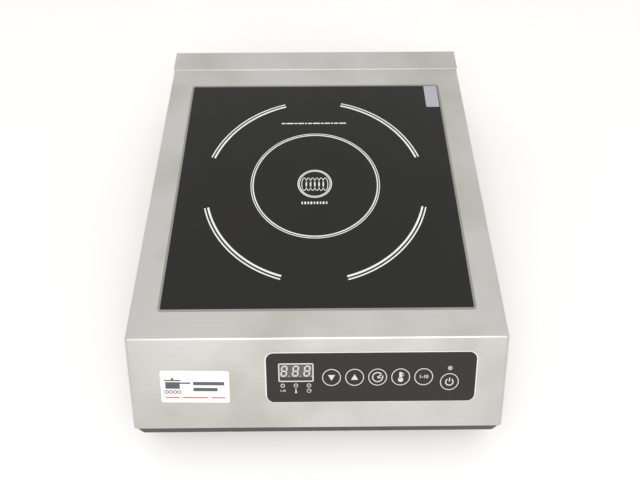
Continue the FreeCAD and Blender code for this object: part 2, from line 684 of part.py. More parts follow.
def make_key(label, x, down):
    """A key cap with its guided plunger and the thin tip that works the switch."""
    body = new_body(label)
    profile = sketch_on(body, "XZ_Plane", "key_profile")
    outline(profile, [
        (0, "tip_end"), ("tip_radius", "tip_end"), ("tip_radius", "plunger_end"),
        ("plunger_radius", "plunger_end"), ("plunger_radius", 0), ("key_radius", 0),
        ("key_radius", "panel_thick"), (0, "panel_thick")])
    revolve(body, profile)
    place_on_slope(body, x, down)


def make_carrier():
    """Moulded carrier behind the slope: guides the plungers and holds the control board."""
    body = new_body("control_carrier")
    edge = sketch_on(body, "XY_Plane", "carrier_outline", "-sheet - carrier_depth")
    rounded_rectangle(edge, "panel_x", "-panel_down", "carrier_width", "carrier_height", 3)
    pad(body, edge, "carrier_depth")
    inside = sketch_on(body, "XY_Plane", "carrier_inside", "-sheet - carrier_plate")
    rounded_rectangle(inside, "panel_x", "-panel_down", "carrier_width - 2 * carrier_wall",
                      "carrier_height - 2 * carrier_wall", "3 - carrier_wall")
    hollow = body.newObject("PartDesign::Pocket", "carrier_hollow")
    hollow.Profile = inside
    bind(hollow, Length="carrier_depth")
    doc.recompute()
    pegs = sketch_on(body, "XY_Plane", "carrier_pegs", "board_w")
    for x, down in CARRIER_PEGS:
        circle(pegs, x, f"-({down})", "2 * small_screw")
    pad(body, pegs, "board_depth - sheet - carrier_plate / 2")
    ears = sketch_on(body, "XY_Plane", "carrier_ears", "-sheet - carrier_plate")
    rectangle(ears, "panel_x", "-panel_down", "panel_width + 14", 14)
    pad(body, ears, "carrier_plate")
    openings = sketch_on(body, "XY_Plane", "carrier_openings", "-sheet")
    for x, down in KEYS.values():
        circle(openings, x, f"-({down})", "plunger_radius + plunger_gap")
    for x, down in LAMPS:
        circle(openings, x, f"-({down})", "lamp_hole")
    for x in CARRIER_STUDS:
        circle(openings, x, "-panel_down", "stud_radius + 0.15")
    rectangle(openings, "window_x", "-window_down", "window_width", "window_height")
    pocket(body, openings, "carrier_plate")
    screw_holes = sketch_on(body, "XY_Plane", "peg_holes", "board_w + 6")
    for x, down in CARRIER_PEGS:
        circle(screw_holes, x, f"-({down})", "small_screw + 0.05")
    pocket(body, screw_holes, 8)
    place_on_slope(body)
    nuts = []
    for x in CARRIER_STUDS:
        blank = doc.addObject("Part::Prism", "stud_nut_blank")
        blank.Polygon = 6
        bind(blank, Circumradius="stud_nut / sqrt(3)", Height="2.4")
        place_on_slope(blank, x, "panel_down", "-sheet - carrier_plate - 2.4")
        nuts.append(bored(blank, slope_rod(x, "panel_down", "-sheet - carrier_plate - 3",
                                           "stud_radius + 0.05", 4)))
    group(nuts, "control_nuts")


def make_control_board():
    """Circuit board behind the keys with its switches, display, lamps, plug and screws."""
    board = new_body("control_board")
    edge = sketch_on(board, "XY_Plane", "board_outline", "board_w - board_thick")
    rounded_rectangle(edge, "panel_x", "-panel_down", "carrier_width - 2 * carrier_wall - 1",
                      "carrier_height - 2 * carrier_wall - 1", 1)
    for x, down in CARRIER_PEGS:
        circle(edge, x, f"-({down})", "small_screw + 0.1")
    pad(board, edge, "board_thick")
    place_on_slope(board)

    switches = []
    for x, down in KEYS.values():
        case = slope_box(x, down, "board_w", "switch_side", "switch_side", "switch_height")
        well = slope_rod(x, down, "board_w + switch_height - key_travel - 0.8", "tip_radius + 0.1", 2)
        switches.append(bored(case, well))
    group(switches, "key_switches")

    display = slope_box("window_x", "window_down", "board_w", "window_width - 0.6",
                        "window_height - 0.6", "board_depth + panel_thick - 0.4")
    keep(display, "display_module")
    group([slope_rod(x, down, "board_w", "lamp_radius", "board_depth + panel_thick - 0.2")
           for x, down in LAMPS], "indicator_lamps")
    screws = []
    for x, down in CARRIER_PEGS:
        screws.append(fused([
            slope_rod(x, down, "board_w - board_thick - 1.5", "small_head", 1.5),
            slope_rod(x, down, "board_w - board_thick", "small_screw", "board_thick + 5")]))
    group(screws, "control_board_screws")


# ---------------------------------------------------------------- coil stack

def coil_sketch(body, name, lift):
    return sketch_on(body, "XY_Plane", name, lift)


def at_coil(body):
    place(body, 0, "glass_y", 0)


def make_winding():
    """Flat spiral of litz wire. Each half turn is an arc about a centre that steps aside by half
    the pitch, so the wire runs on smoothly while its radius grows."""
    pitch, turns = value("coil_pitch"), int(value("coil_turns"))
    half_wire = value("wire_width") / 2

    def half_turn(index, offset):
        radius = value("coil_inner") + index * pitch / 2 + offset
        centre = Vector(pitch / 2 if index % 2 else 0, 0, 0)
        start = 180 * (index % 2)
        return Part.makeCircle(radius, centre, Vector(0, 0, 1), start, start + 180)

    outer = [half_turn(index, half_wire) for index in range(2 * turns)]
    inner = [half_turn(index, -half_wire) for index in range(2 * turns)]
    ends = [Part.makeLine(inner[0].firstVertex().Point, outer[0].firstVertex().Point),
            Part.makeLine(inner[-1].lastVertex().Point, outer[-1].lastVertex().Point)]
    face = Part.Face(Part.Wire(Part.__sortEdges__(outer + inner + ends)))
    winding = doc.addObject("Part::Feature", "coil_winding")
    winding.Shape = face.extrude(Vector(0, 0, value("wire_height")))
    place(winding, 0, "glass_y", "wire_z")
    keep(winding, "coil_winding")


def lead_holes(body, lift):
    holes = coil_sketch(body, "lead_holes", lift)
    for reach in ("coil_inner", "coil_inner + coil_pitch * coil_turns"):
        circle(holes, reach, 0, "lead_radius + 0.4")
    return holes


def make_coil_carrier():
    """Moulded spider under the winding: hub, rim and spokes, with the ferrites below the spokes."""
    body = new_body("coil_carrier")
    base = coil_sketch(body, "carrier_disc", "carrier_z")
    circle(base, 0, 0, "carrier_radius")
    circle(base, 0, 0, "sensor_hole")
    pad(body, base, "carrier_thick")
    hub = coil_sketch(body, "carrier_hub", "wire_z")
    circle(hub, 0, 0, "hub_radius")
    circle(hub, 0, 0, "sensor_hole")
    pad(body, hub, "wire_height")
    rim = coil_sketch(body, "carrier_rim", "wire_z")
    circle(rim, 0, 0, "carrier_radius")
    circle(rim, 0, 0, "carrier_radius - 1.5")
    pad(body, rim, "wire_height / 2")
    window = coil_sketch(body, "carrier_window", "wire_z")
    half_angle = "180 / ferrite_count"
    corners = []
    for radius in ("hub_radius + 14", "carrier_radius - 13"):
        across = f"({radius}) * tan({half_angle}) - 0.8 * ferrite_width"
        corners.append((radius, across))
    (near_x, near_y), (far_x, far_y) = corners
    outline(window, [(near_x, f"-({near_y})"), (far_x, f"-({far_y})"), (far_x, far_y),
                     (near_x, near_y)])
    polar(body, [pocket(body, window, "2 * carrier_thick")], "ferrite_count")
    pocket(body, lead_holes(body, "wire_z"), "2 * carrier_thick")
    at_coil(body)


def make_ferrites():
    bars = []
    count = int(value("ferrite_count"))
    for index in range(count):
        angle = (index + 0.5) * 360 / count
        bar = doc.addObject("Part::Box", "ferrite_bar")
        bar.Placement = Placement(Vector(), Rotation(Vector(0, 0, 1), angle))
        bind(bar, Length="ferrite_length", Width="ferrite_width", Height="ferrite_thick")
        bars.append(place(
            bar, f"ferrite_start * cos({angle}) + ferrite_width / 2 * sin({angle})",
            f"glass_y + ferrite_start * sin({angle}) - ferrite_width / 2 * cos({angle})",
            "ferrite_z"))
    group(bars, "ferrite_bars")


def make_coil_support():
    """Mica sheet, aluminium plate on four posts, and the temperature sensor in its rubber plug."""
    mica = new_body("mica_sheet")
    disc = coil_sketch(mica, "mica_disc", "coil_top")
    circle(disc, 0, 0, "carrier_radius - 1.5")
    circle(disc, 0, 0, "sensor_hole")
    pad(mica, disc, "mica_thick")
    at_coil(mica)

    plate = new_body("coil_plate")
    sheet = coil_sketch(plate, "plate_outline", "plate_z")
    rounded_rectangle(sheet, 0, 0, "plate_width", "plate_depth", "plate_corner")
    pad(plate, sheet, "plate_thick")
    disc = coil_sketch(plate, "plate_disc", "plate_z")
    circle(disc, 0, 0, "carrier_radius")
    pad(plate, disc, "plate_thick")
    holes = coil_sketch(plate, "plate_holes", "ferrite_z")
    circle(holes, 0, 0, "sensor_hole - 3")
    for sign_x in ("-", ""):
        for sign_y in ("-", ""):
            circle(holes, f"{sign_x}post_x", f"{sign_y}post_y", "small_screw + 0.2")
    pocket(plate, holes, "2 * plate_thick")
    pocket(plate, lead_holes(plate, "ferrite_z"), "2 * plate_thick")
    at_coil(plate)

    posts = [bored(cylinder(x, y, "pan_top", "post_radius", "plate_z - pan_top"),
                   cylinder(x, y, "plate_z - 8", "small_screw + 0.05", 9)) for x, y in POSTS]
    group(posts, "coil_posts")
    group([top_screw(x, y, seat, "thick_under_head + 5", "small_screw", "small_head")
           for seat, places in (("ferrite_z", POSTS), ("parts_z", BOARD_CORNERS))
           for x, y in places], "small_screws")

    plug = new_body("sensor_holder")
    profile = sketch_on(plug, "XZ_Plane", "sensor_profile")
    outline(profile, [
        ("sensor_bead", "plate_z - 3"), ("sensor_hole - 1.5", "plate_z - 3"),
        ("sensor_hole - 1.5", "plate_z"), ("sensor_hole - 3", "plate_z"),
        ("sensor_hole - 3", "ferrite_z"), ("sensor_hole - 1.5", "ferrite_z + 1.5"),
        ("sensor_hole - 1.5", "glass_floor - 3"), ("sensor_hole - 0.5", "glass_floor - 2"),
        ("sensor_hole - 0.5", "glass_floor"), ("sensor_bead", "glass_floor")])
    revolve(plug, profile)
    at_coil(plug)
    bead = cylinder(0, "glass_y", "glass_floor - 6", "sensor_bead", 6)
    keep(bead, "temperature_sensor")


# ---------------------------------------------------------------- power board

def make_power_board():
    board = new_body("power_board")
    edge = sketch_on(board, "XY_Plane", "power_outline", "board_z")
    rounded_rectangle(edge, 0, "power_y", "power_width", "power_depth", 3)
    for x, y in BOARD_CORNERS:
        circle(edge, x, y, "small_screw + 0.2")
    pad(board, edge, "board_thick")
    standoffs = [bored(cylinder(x, y, "pan_top", "standoff_radius", "standoff"),
                       cylinder(x, y, "pan_top + 1", "small_screw + 0.05", "standoff"))
                 for x, y in BOARD_CORNERS]
    group(standoffs, "board_standoffs")


def make_heatsink():
    """Extruded aluminium heatsink, its fins along the air stream, clamped on the transistors."""
    body = new_body("heatsink")
    base = sketch_on(body, "XY_Plane", "sink_base")
    rectangle(base, 0, 0, "sink_width", "sink_depth")
    pad(body, base, "sink_base")
    fin = sketch_on(body, "XY_Plane", "sink_fin", "sink_base / 2")
    rectangle(fin, "(fin_thick - sink_width) / 2", 0, "fin_thick", "sink_depth")
    first = pad(body, fin, "sink_height - sink_base / 2")
    linear(body, [first], "X_Axis", "sink_width - fin_thick", "fin_count")
    place(body, "sink_x", "sink_y", "parts_z + package_thick")


def make_power_parts():
    """The board's own parts, and the mains terminal block that stands on the pan behind it."""
    group([box(f"sink_x + {offset}", "sink_y", "parts_z", width, depth, "package_thick")
           for offset, width, depth in PACKAGES], "power_semiconductors")
    for label, blocks in BOARD_BLOCKS.items():
        group([box(x, y, "parts_z", *size) for x, y, *size in blocks], label)
    group([cylinder("can_x", y, "parts_z", "can_radius", "can_height")
           for y in ("can_y", "can_y + can_pitch")], "electrolytic_capacitors")

    choke = new_body("filter_choke")
    profile = sketch_on(choke, "XZ_Plane", "choke_profile")
    inner, outer, top = "choke_radius - choke_width / 2", "choke_radius + choke_width / 2", "choke_height"
    bevelled = "choke_width / 4"
    outline(profile, [
        (f"{inner} + {bevelled}", 0), (f"{outer} - {bevelled}", 0), (outer, bevelled),
        (outer, f"{top} - {bevelled}"), (f"{outer} - {bevelled}", top),
        (f"{inner} + {bevelled}", top), (inner, f"{top} - {bevelled}"), (inner, bevelled)])
    revolve(choke, profile)
    place(choke, "choke_x", "choke_y", "parts_z")

    block = new_body("terminal_block")
    base = sketch_on(block, "XY_Plane", "block_base", "pan_top")
    rectangle(base, "block_x", "block_y", "block_width", "block_depth")
    pad(block, base, "block_height")
    wells = sketch_on(block, "XY_Plane", "block_wells", "pan_top + block_height")
    for index in (-1, 0, 1):
        for sign in ("-", "+"):
            circle(wells, f"block_x + {index} * block_width / 3",
                   f"block_y {sign} block_depth * 0.27", "well_radius")
    pocket(block, wells, "0.6 * block_height")


# ---------------------------------------------------------------- wiring

def strip_outline(centres, thick):
    """The outline of a flat strip seen edge on, mitred where its centre line turns."""
    sides = {1: [], -1: []}
    for index, point in enumerate(centres):
        runs = [(centres[k + 1] - centres[k]).normalize()
                for k in (index - 1, index) if 0 <= k < len(centres) - 1]
        middle = (runs[0] + runs[-1]).normalize()
        across = Vector(-middle.y, middle.x, 0)
        reach = thick / 2 / math.cos(runs[0].getAngle(runs[-1]) / 2)
        for sign, side in sides.items():
            side.append(point + across * (reach * sign))
    return sides[1] + sides[-1][::-1]


def make_ribbon():
    """Flat cable from the control board, over the floor between the fans, to the power board."""
    start_y = "fold_y - panel_down * cos(slope_angle) + plug_back * sin(slope_angle)"
    start_z = "top_height - panel_down * sin(slope_angle) - plug_back * cos(slope_angle)"
    drop = f"(({start_z}) - ribbon_floor) * tan(slope_angle)"
    plug_y, over = "power_y - power_depth / 2 + 6", "parts_z + ribbon_plug + 8"
    route = [(start_y, start_z), (f"({start_y}) + {drop}", "ribbon_floor"),
             (f"{plug_y} - 16", "ribbon_floor"), (f"{plug_y} - 16", over), (plug_y, over),
             (plug_y, "parts_z + ribbon_plug")]
    centres = [Vector(value(y), value(z), 0) for y, z in route]
    body = doc.addObject("PartDesign::Body", "ribbon_strip")
    edge = sketch_on(body, "YZ_Plane", "strip_profile")
    outline(edge, [(point.x, point.y) for point in strip_outline(centres, value("ribbon_thick"))])
    strip = pad(body, edge, "ribbon_width", both_ways=True)
    ends = (centres[0], centres[-1])
    round_edges(body, strip, lambda point, run: near(abs(run.x), 1) and all(
        math.hypot(point.y - end.x, point.z - end.y) > 2 for end in ends), "2 * ribbon_thick")
    front = slope_box(0, "panel_down", "-plug_back", "ribbon_width + 4", 7,
                      "plug_back - board_depth - board_thick")
    rear = box(0, plug_y, "parts_z", "ribbon_width + 4", 7, "ribbon_plug")
    group([body, front, rear], "ribbon_cable")


def tube(route, radius, bend):
    """A round lead along straight runs that are joined by tangent arcs."""
    points = [Vector(*(value(part) for part in point)) for point in route]
    edges, start = [], points[0]
    for before, corner, after in zip(points, points[1:], points[2:]):
        back, ahead = (before - corner).normalize(), (after - corner).normalize()
        half = back.getAngle(ahead) / 2
        cut = bend / math.tan(half)
        inner = corner + (back + ahead).normalize() * (bend / math.sin(half))
        middle = inner + (corner - inner).normalize() * bend
        enter, leave = corner + back * cut, corner + ahead * cut
        edges += [Part.makeLine(start, enter), Part.Arc(enter, middle, leave).toShape()]
        start = leave
    edges.append(Part.makeLine(start, points[-1]))
    section = Part.Wire(Part.makeCircle(radius, points[0], points[1] - points[0]))
    solid = doc.addObject("Part::Feature", "lead")
    solid.Shape = Part.Wire(edges).makePipeShell([section], True, True)
    return solid


def make_coil_leads():
    """The winding's two ends, sleeved, down through the plate and over to the board's terminals."""
    leads = []
    for end, over, across in (("coil_inner", "duct_top + 2", 8),
                              ("coil_inner + coil_pitch * coil_turns", "duct_top - 4", 28)):
        leads.append(tube([(end, "glass_y", "wire_z"), (end, "glass_y", over),
                           (across, "lead_y", over), (across, "lead_y", "parts_z + 10")],
                          value("lead_radius"), value("5 * lead_radius")))
    group(leads, "coil_leads")


# ---------------------------------------------------------------- fans

def make_fan_frame(side, x):
    """Square frame with a round duct, and four spokes that carry the motor plate and axle."""
    body = new_body("fan_frame_" + side)
    square = sketch_on(body, "XY_Plane", "frame_outline")
    rounded_rectangle(square, 0, 0, "fan_side", "fan_side", 4)
    for sign in ("-", ""):
        circle(square, f"{sign}fan_pitch / 2", f"{sign}fan_pitch / 2", "fan_screw_radius + 0.05")
    circle(square, 0, 0, "fan_bore")
    pad(body, square, "fan_thick")
    for width, depth in (("2 * fan_bore + 1", 3), (3, "2 * fan_bore + 1")):
        spoke = sketch_on(body, "XY_Plane", "spoke", "fan_thick - fan_plate")
        rectangle(spoke, 0, 0, width, depth)
        pad(body, spoke, "fan_plate")
    plate = sketch_on(body, "XY_Plane", "motor_plate", "fan_thick - fan_plate")
    circle(plate, 0, 0, "fan_hub")
    pad(body, plate, "fan_plate")
    axle = sketch_on(body, "XY_Plane", "axle", "8")
    circle(axle, 0, 0, "axle_radius")
    pad(body, axle, "fan_thick - fan_plate / 2 - 8")
    place(body, x, "fan_y", "pan_top")


def blade_section(body, reach, chord, pitch_angle):
    """A thin curved blade outline, square to a radius, at a distance reach from the axle."""
    sketch = sketch_on(body, "YZ_Plane", "blade_section", reach)
    angle = math.radians(pitch_angle)
    along = Vector(math.cos(angle), math.sin(angle), 0)
    over = Vector(-math.sin(angle), math.cos(angle), 0)
    centre = Vector(0, value("fan_rotor_z + fan_rotor_height / 2"), 0)
    half, camber = value("blade_thick") / 2, value("blade_camber")
    lead, trail = centre - along * (chord / 2), centre + along * (chord / 2)
    low = Part.Arc(lead - over * half, centre + over * (camber - half), trail - over * half)
    high = Part.Arc(trail + over * half, centre + over * (camber + half), lead + over * half)
    sketch.addGeometry(low)
    sketch.addGeometry(Part.LineSegment(trail - over * half, trail + over * half))
    sketch.addGeometry(high)
    sketch.addGeometry(Part.LineSegment(lead + over * half, lead - over * half))
    return sketch


def make_fan_rotor(side, x, turn):
    """Moulded rotor: a round hub over the motor and blades that flatten towards their tips."""
    body = new_body("fan_rotor_" + side)
    hub = sketch_on(body, "XZ_Plane", "hub_profile")
    bore = "axle_radius + axle_gap"
    top = "fan_rotor_z + fan_rotor_height"
    outline(hub, [(0, "fan_rotor_z"), ("fan_hub - 2", "fan_rotor_z"),
                  ("fan_hub", "fan_rotor_z + 2"), ("fan_hub", top), (bore, top), (bore, 7.5),
                  (0, 7.5)])
    revolve(body, hub)
    root = blade_section(body, "blade_root", 15, turn * 48)
    tip = blade_section(body, "blade_tip", 22, turn * 28)
    doc.recompute()
    blade = body.newObject("PartDesign::AdditiveLoft", "blade")
    blade.Profile = root
    blade.Sections = [tip]
    doc.recompute()
    polar(body, [blade], "blade_count")
    place(body, x, "fan_y", "pan_top")


def make_air_duct(side, x):
    """Moulded hood over a fan that turns its air towards the heatsink and the rear vents."""
    body = new_body("air_duct_" + side)
    foot, half = "fan_thick - 8", "fan_side / 2"
    roof = "duct_top - pan_top"
    shell = sketch_on(body, "YZ_Plane", "duct_outer")
    outline(shell, [(f"-{half} - duct_wall", foot), (f"-{half} - duct_wall", "fan_thick + 14"),
                    (f"-{half} / 2", roof), (f"{half} + 8", roof), (f"{half} + 8", foot)])
    outer = pad(body, shell, "fan_side + 2 * duct_wall", both_ways=True)
    wall, top = value(f"{half} + duct_wall"), value(roof)
    round_edges(body, outer, lambda point, run: near(abs(point.x), wall) and near(abs(run.y), 1)
                and near(point.z, top), 3)
    inside = sketch_on(body, "YZ_Plane", "duct_inner")
    outline(inside, [(f"-{half}", "0"), (f"-{half}", "fan_thick + 13.5"),
                     (f"-{half} / 2 + 0.5", f"{roof} - duct_wall"),
                     (f"{half} + 12", f"{roof} - duct_wall"), (f"{half} + 12", "0")])
    pocket(body, inside, "fan_side", both_ways=True)
    place(body, x, "fan_y", "pan_top")


def make_fans():
    for side, x in FAN_SIDES.items():
        make_fan_frame(side, x)
        make_fan_rotor(side, x, 1)
        make_air_duct(side, x)
    group([screw(x, y, "foot_height", "sheet + fan_thick / 2", "fan_screw_radius", "head_radius",
                 "0.8 * head_height") for x, y in FAN_SCREWS], "fan_screws")


# ---------------------------------------------------------------- cable gland

def make_gland():
    """Plastic cable gland in the rear panel: threaded stem, flange and clamping cap, and lock nut."""
    body = new_body("gland_body")
    profile = sketch_on(body, "XZ_Plane", "gland_profile")
    outline(profile, [
        ("gland_bore", "-sheet - 9"), ("gland_hole - 0.05", "-sheet - 9"),
        ("gland_hole - 0.05", 0), ("gland_flange", 0), ("gland_flange", 4),
        ("gland_flange - 1.5", 4), ("gland_flange - 1.5", "gland_reach - 3"),
        ("gland_bore + 1", "gland_reach"), ("gland_bore", "gland_reach")])
    revolve(body, profile)
    lock = doc.addObject("Part::Prism", "lock_blank")
    lock.Polygon = 6
    bind(lock, Circumradius="2 * (gland_flange + 0.5) / sqrt(3)", Height="4")
    hole = doc.addObject("Part::Cylinder", "lock_bore")
    bind(hole, Radius="gland_hole", Height="6")
    outward = Rotation(Vector(1, 0, 0), -90)
    for thing, y in ((body, "rear_y"), (lock, "rear_y - sheet - 4"), (hole, "rear_y - sheet - 5")):
        thing.Placement = Placement(Vector(), outward)
        place(thing, "gland_x", y, "gland_z")
    keep(bored(lock, hole), "gland_nut")


make_housing()
make_rear_panel()
make_base_pan()
make_glass()
for foot_label, (foot_x, foot_y) in FEET.items():
    make_foot(foot_label, foot_x, foot_y)
make_foot_fixings()
make_case_screws()
make_label()
make_overlay()
for key_label, (key_x, key_down) in KEYS.items():
    make_key(key_label, key_x, key_down)
make_carrier()
make_control_board()
make_winding()
make_coil_carrier()
make_ferrites()
make_coil_support()
make_power_board()
make_heatsink()
make_power_parts()
make_ribbon()
make_coil_leads()
make_fans()
make_gland()

doc.recompute()
os.makedirs("parts", exist_ok=True)
for item in doc.Objects:
    if "Invalid" in item.State or "Error" in item.State:
        raise RuntimeError(f"{item.Name} ({item.Label}) failed: {item.State}")
for sub_part in sub_parts:
    shape = sub_part.Shape
    if shape.isNull() or not shape.isValid() or not shape.Solids:
        raise RuntimeError(f"{sub_part.Label} has no valid solid")
    shape.exportStep(f"parts/{sub_part.Label}.step")
    print(f"{sub_part.Label:26s} solids {len(shape.Solids):3d}  volume {shape.Volume:12.1f}")
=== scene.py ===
import json
import math

import bmesh
import bpy
from mathutils import Matrix, Vector


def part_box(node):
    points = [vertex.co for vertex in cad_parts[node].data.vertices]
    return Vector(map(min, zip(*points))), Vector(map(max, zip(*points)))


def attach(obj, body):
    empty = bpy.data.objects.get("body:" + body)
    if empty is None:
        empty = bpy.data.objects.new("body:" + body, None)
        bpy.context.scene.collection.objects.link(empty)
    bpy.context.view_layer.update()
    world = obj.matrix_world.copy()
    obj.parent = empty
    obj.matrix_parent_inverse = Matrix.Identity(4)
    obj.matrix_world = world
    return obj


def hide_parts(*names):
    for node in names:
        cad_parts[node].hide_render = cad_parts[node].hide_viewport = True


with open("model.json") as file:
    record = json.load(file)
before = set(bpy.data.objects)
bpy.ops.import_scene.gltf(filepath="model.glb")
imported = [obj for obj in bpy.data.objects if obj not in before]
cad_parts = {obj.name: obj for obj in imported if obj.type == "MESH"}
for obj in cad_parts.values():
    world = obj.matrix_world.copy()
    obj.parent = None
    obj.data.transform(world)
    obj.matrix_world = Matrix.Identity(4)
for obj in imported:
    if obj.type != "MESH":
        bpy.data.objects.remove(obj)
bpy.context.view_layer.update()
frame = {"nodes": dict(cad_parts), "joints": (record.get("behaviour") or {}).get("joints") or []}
nodes = frame["nodes"]


# ------------------------------------------------------------ studio
# A wide pale table that runs out of sight in an evenly lit pale room, with one large softbox high
# in front of the hob.

TABLE_HALF = 4.0
TABLE_DROP = 0.0002          # keeps the table clear of the feet's soles

scene = bpy.context.scene
scene.view_settings.view_transform = "Standard"


def add(tree, kind, sockets=None, **settings):
    """A new shader node with its settings made and its sockets filled, or linked to others."""
    node = tree.nodes.new("ShaderNode" + kind)
    for name, setting in settings.items():
        setattr(node, name, setting)
    for socket, entry in (sockets or {}).items():
        if isinstance(entry, bpy.types.NodeSocket):
            tree.links.new(entry, node.inputs[socket])
        else:
            node.inputs[socket].default_value = entry
    return node


def tone(red, green, blue):
    """A display colour, 0 to 255, as the linear colour that a shader takes."""
    def linear(part):
        part /= 255
        return part / 12.92 if part <= 0.04045 else ((part + 0.055) / 1.055) ** 2.4
    return linear(red), linear(green), linear(blue), 1.0


def ramp(tree, amount, stops):
    """A colour ramp through (position, colour) stops, read at amount."""
    node = add(tree, "ValToRGB", {"Fac": amount})
    elements = node.color_ramp.elements
    while len(elements) < len(stops):
        elements.new(0.5)
    for element, (position, colour) in zip(elements, stops):
        element.position = position
        element.color = colour
    return node.outputs["Color"]


# The room is evenly bright and a little dimmer overhead.
ROOM_STRENGTH = 1.0
HORIZON = (0.95, 0.94, 0.92, 1)
ZENITH = (0.90, 0.89, 0.87, 1)

room = bpy.data.worlds.new("room")
room.use_nodes = True
scene.world = room
air = room.node_tree
ray = add(air, "SeparateXYZ", {0: add(air, "TexCoord").outputs["Generated"]})
sky = air.nodes["Background"]
air.links.new(ramp(air, ray.outputs["Z"], [(0.0, HORIZON), (1.0, ZENITH)]), sky.inputs["Color"])
sky.inputs["Strength"].default_value = ROOM_STRENGTH


# The softbox faces the middle of the hob and is kept out of the picture.
SOFTBOX_PLACE = Vector((0.0, -1.15, 1.5))
SOFTBOX_SIZE = (1.5, 0.9)
SOFTBOX_RADIANCE = 3.0
SOFTBOX_COLOUR = (1.0, 0.98, 0.95)

softbox = bpy.data.lights.new("softbox", "AREA")
softbox.shape = "RECTANGLE"
softbox.size, softbox.size_y = SOFTBOX_SIZE
softbox.energy = SOFTBOX_RADIANCE * math.pi * SOFTBOX_SIZE[0] * SOFTBOX_SIZE[1]
softbox.color = SOFTBOX_COLOUR
holder = bpy.data.objects.new("softbox", softbox)
scene.collection.objects.link(holder)
holder.location = SOFTBOX_PLACE
holder.rotation_euler = (-SOFTBOX_PLACE).to_track_quat("-Z", "Y").to_euler()
holder.visible_camera = False


def as_object(name, bm, material):
    """A finished mesh as an object at the origin."""
    mesh = bpy.data.meshes.new(name)
    bm.to_mesh(mesh)
    bm.free()
    mesh.materials.append(material)
    thing = bpy.data.objects.new(name, mesh)
    scene.collection.objects.link(thing)
    return thing


table_mesh = bmesh.new()
bmesh.ops.create_grid(table_mesh, x_segments=1, y_segments=1, size=TABLE_HALF,
                      matrix=Matrix.Translation((0, 0, -TABLE_DROP)))
table_top = bpy.data.materials.new("pale_table")
table_top.use_nodes = True
table_tree = table_top.node_tree
table_noise = add(table_tree, "TexNoise", {
    "Vector": add(table_tree, "TexCoord").outputs["Object"], "Scale": 3.0, "Detail": 2.0})
table_shader = table_tree.nodes["Principled BSDF"]
table_tree.links.new(
    ramp(table_tree, table_noise.outputs["Fac"],
         [(0.3, (0.93, 0.93, 0.925, 1)), (0.7, (0.95, 0.95, 0.945, 1))]),
    table_shader.inputs["Base Color"])
table_shader.inputs["Roughness"].default_value = 0.7
table = as_object("table_top", table_mesh, table_top)


# ------------------------------------------------------------ camera
# A hand-held camera above the front edge, looking down over the slope at the whole top.

camera_data = bpy.data.cameras.new("camera")
camera_data.sensor_width = 36.0
camera_data.lens = 29.4
camera = bpy.data.objects.new("camera", camera_data)
scene.collection.objects.link(camera)
camera.location = (0.001, -0.306, 0.528)
camera.rotation_euler = (math.radians(90 - 59.7), 0.0, math.radians(-0.5))
scene.camera = camera


# ------------------------------------------------------------ stainless case
# The housing is one sheet of 1 mm brushed stainless steel, folded at the front and sides; the
# rear panel is a second one, lapped over it and screwed on.  The grain runs across the hob and
# down its sides, so the steel smears reflections at right angles to it.

GRAIN_ALONG = 7.0
GRAIN_ACROSS = 900.0
FINE_ALONG = 40.0
FINE_ACROSS = 5200.0


def new_finish(name):
    """A material, its node tree, its shader and the piece's own coordinates."""
    material = bpy.data.materials.new(name)
    material.use_nodes = True
    tree = material.node_tree
    return material, tree, tree.nodes["Principled BSDF"], add(tree, "TexCoord").outputs["Object"]


def wear(material, *names):
    """Give CAD pieces a finish."""
    for name in names:
        mesh = nodes[name].data
        mesh.materials.clear()
        mesh.materials.append(material)


def grain(tree, place, facing_side, along, across, detail):
    """Noise drawn out along X, or along Z where the sheet faces sideways."""
    flat = add(tree, "Mapping", {"Vector": place, "Scale": (along, across, across)})
    side = add(tree, "Mapping", {"Vector": place, "Scale": (across, across, along)})
    pick = add(tree, "Mix", {0: facing_side, 4: flat.outputs[0], 5: side.outputs[0]},
               data_type="VECTOR")
    return add(tree, "TexNoise", {"Vector": pick.outputs[1], "Scale": 1.0, "Detail": detail,
                                  "Roughness": 0.6}).outputs["Fac"]


steel, tree, shader, place = new_finish("brushed_stainless")
outward = add(tree, "NewGeometry").outputs["Normal"]
sideways = add(tree, "Math", {0: add(tree, "SeparateXYZ", {0: outward}).outputs["X"]},
               operation="ABSOLUTE")
facing_side = add(tree, "Math", {0: sideways.outputs[0], 1: 0.7},
                  operation="GREATER_THAN").outputs[0]
streak = grain(tree, place, facing_side, GRAIN_ALONG, GRAIN_ACROSS, 3.0)
fine = grain(tree, place, facing_side, FINE_ALONG, FINE_ACROSS, 2.0)
handling = add(tree, "TexNoise", {"Vector": place, "Scale": 11.0, "Detail": 3.0}).outputs["Fac"]
streaks = ramp(tree, streak, [(0.30, (0.552, 0.544, 0.524, 1)),
                              (0.70, (0.570, 0.562, 0.544, 1))])
clouds = ramp(tree, handling, [(0.36, (0.94, 0.925, 0.90, 1)), (0.58, (1.08, 1.08, 1.09, 1))])
base = add(tree, "Mix", {0: 1.0, 6: streaks, 7: clouds}, data_type="RGBA", blend_type="MULTIPLY")
tree.links.new(base.outputs[2], shader.inputs["Base Color"])
smear = add(tree, "Math", {0: fine, 1: handling}, operation="ADD").outputs[0]
rough = add(tree, "MapRange", {"Value": smear, "From Min": 0.7, "From Max": 1.3, "To Min": 0.27,
                               "To Max": 0.35})
tree.links.new(rough.outputs["Result"], shader.inputs["Roughness"])
across = add(tree, "VectorMath", {0: outward, 1: (1, 0, 0)}, operation="CROSS_PRODUCT")
across = add(tree, "VectorMath", {0: across.outputs[0], 1: (0, 0.02, 0)}, operation="ADD")
tree.links.new(across.outputs[0], shader.inputs["Tangent"])
bump = add(tree, "Bump", {"Height": streak, "Strength": 0.12, "Distance": 0.00002})
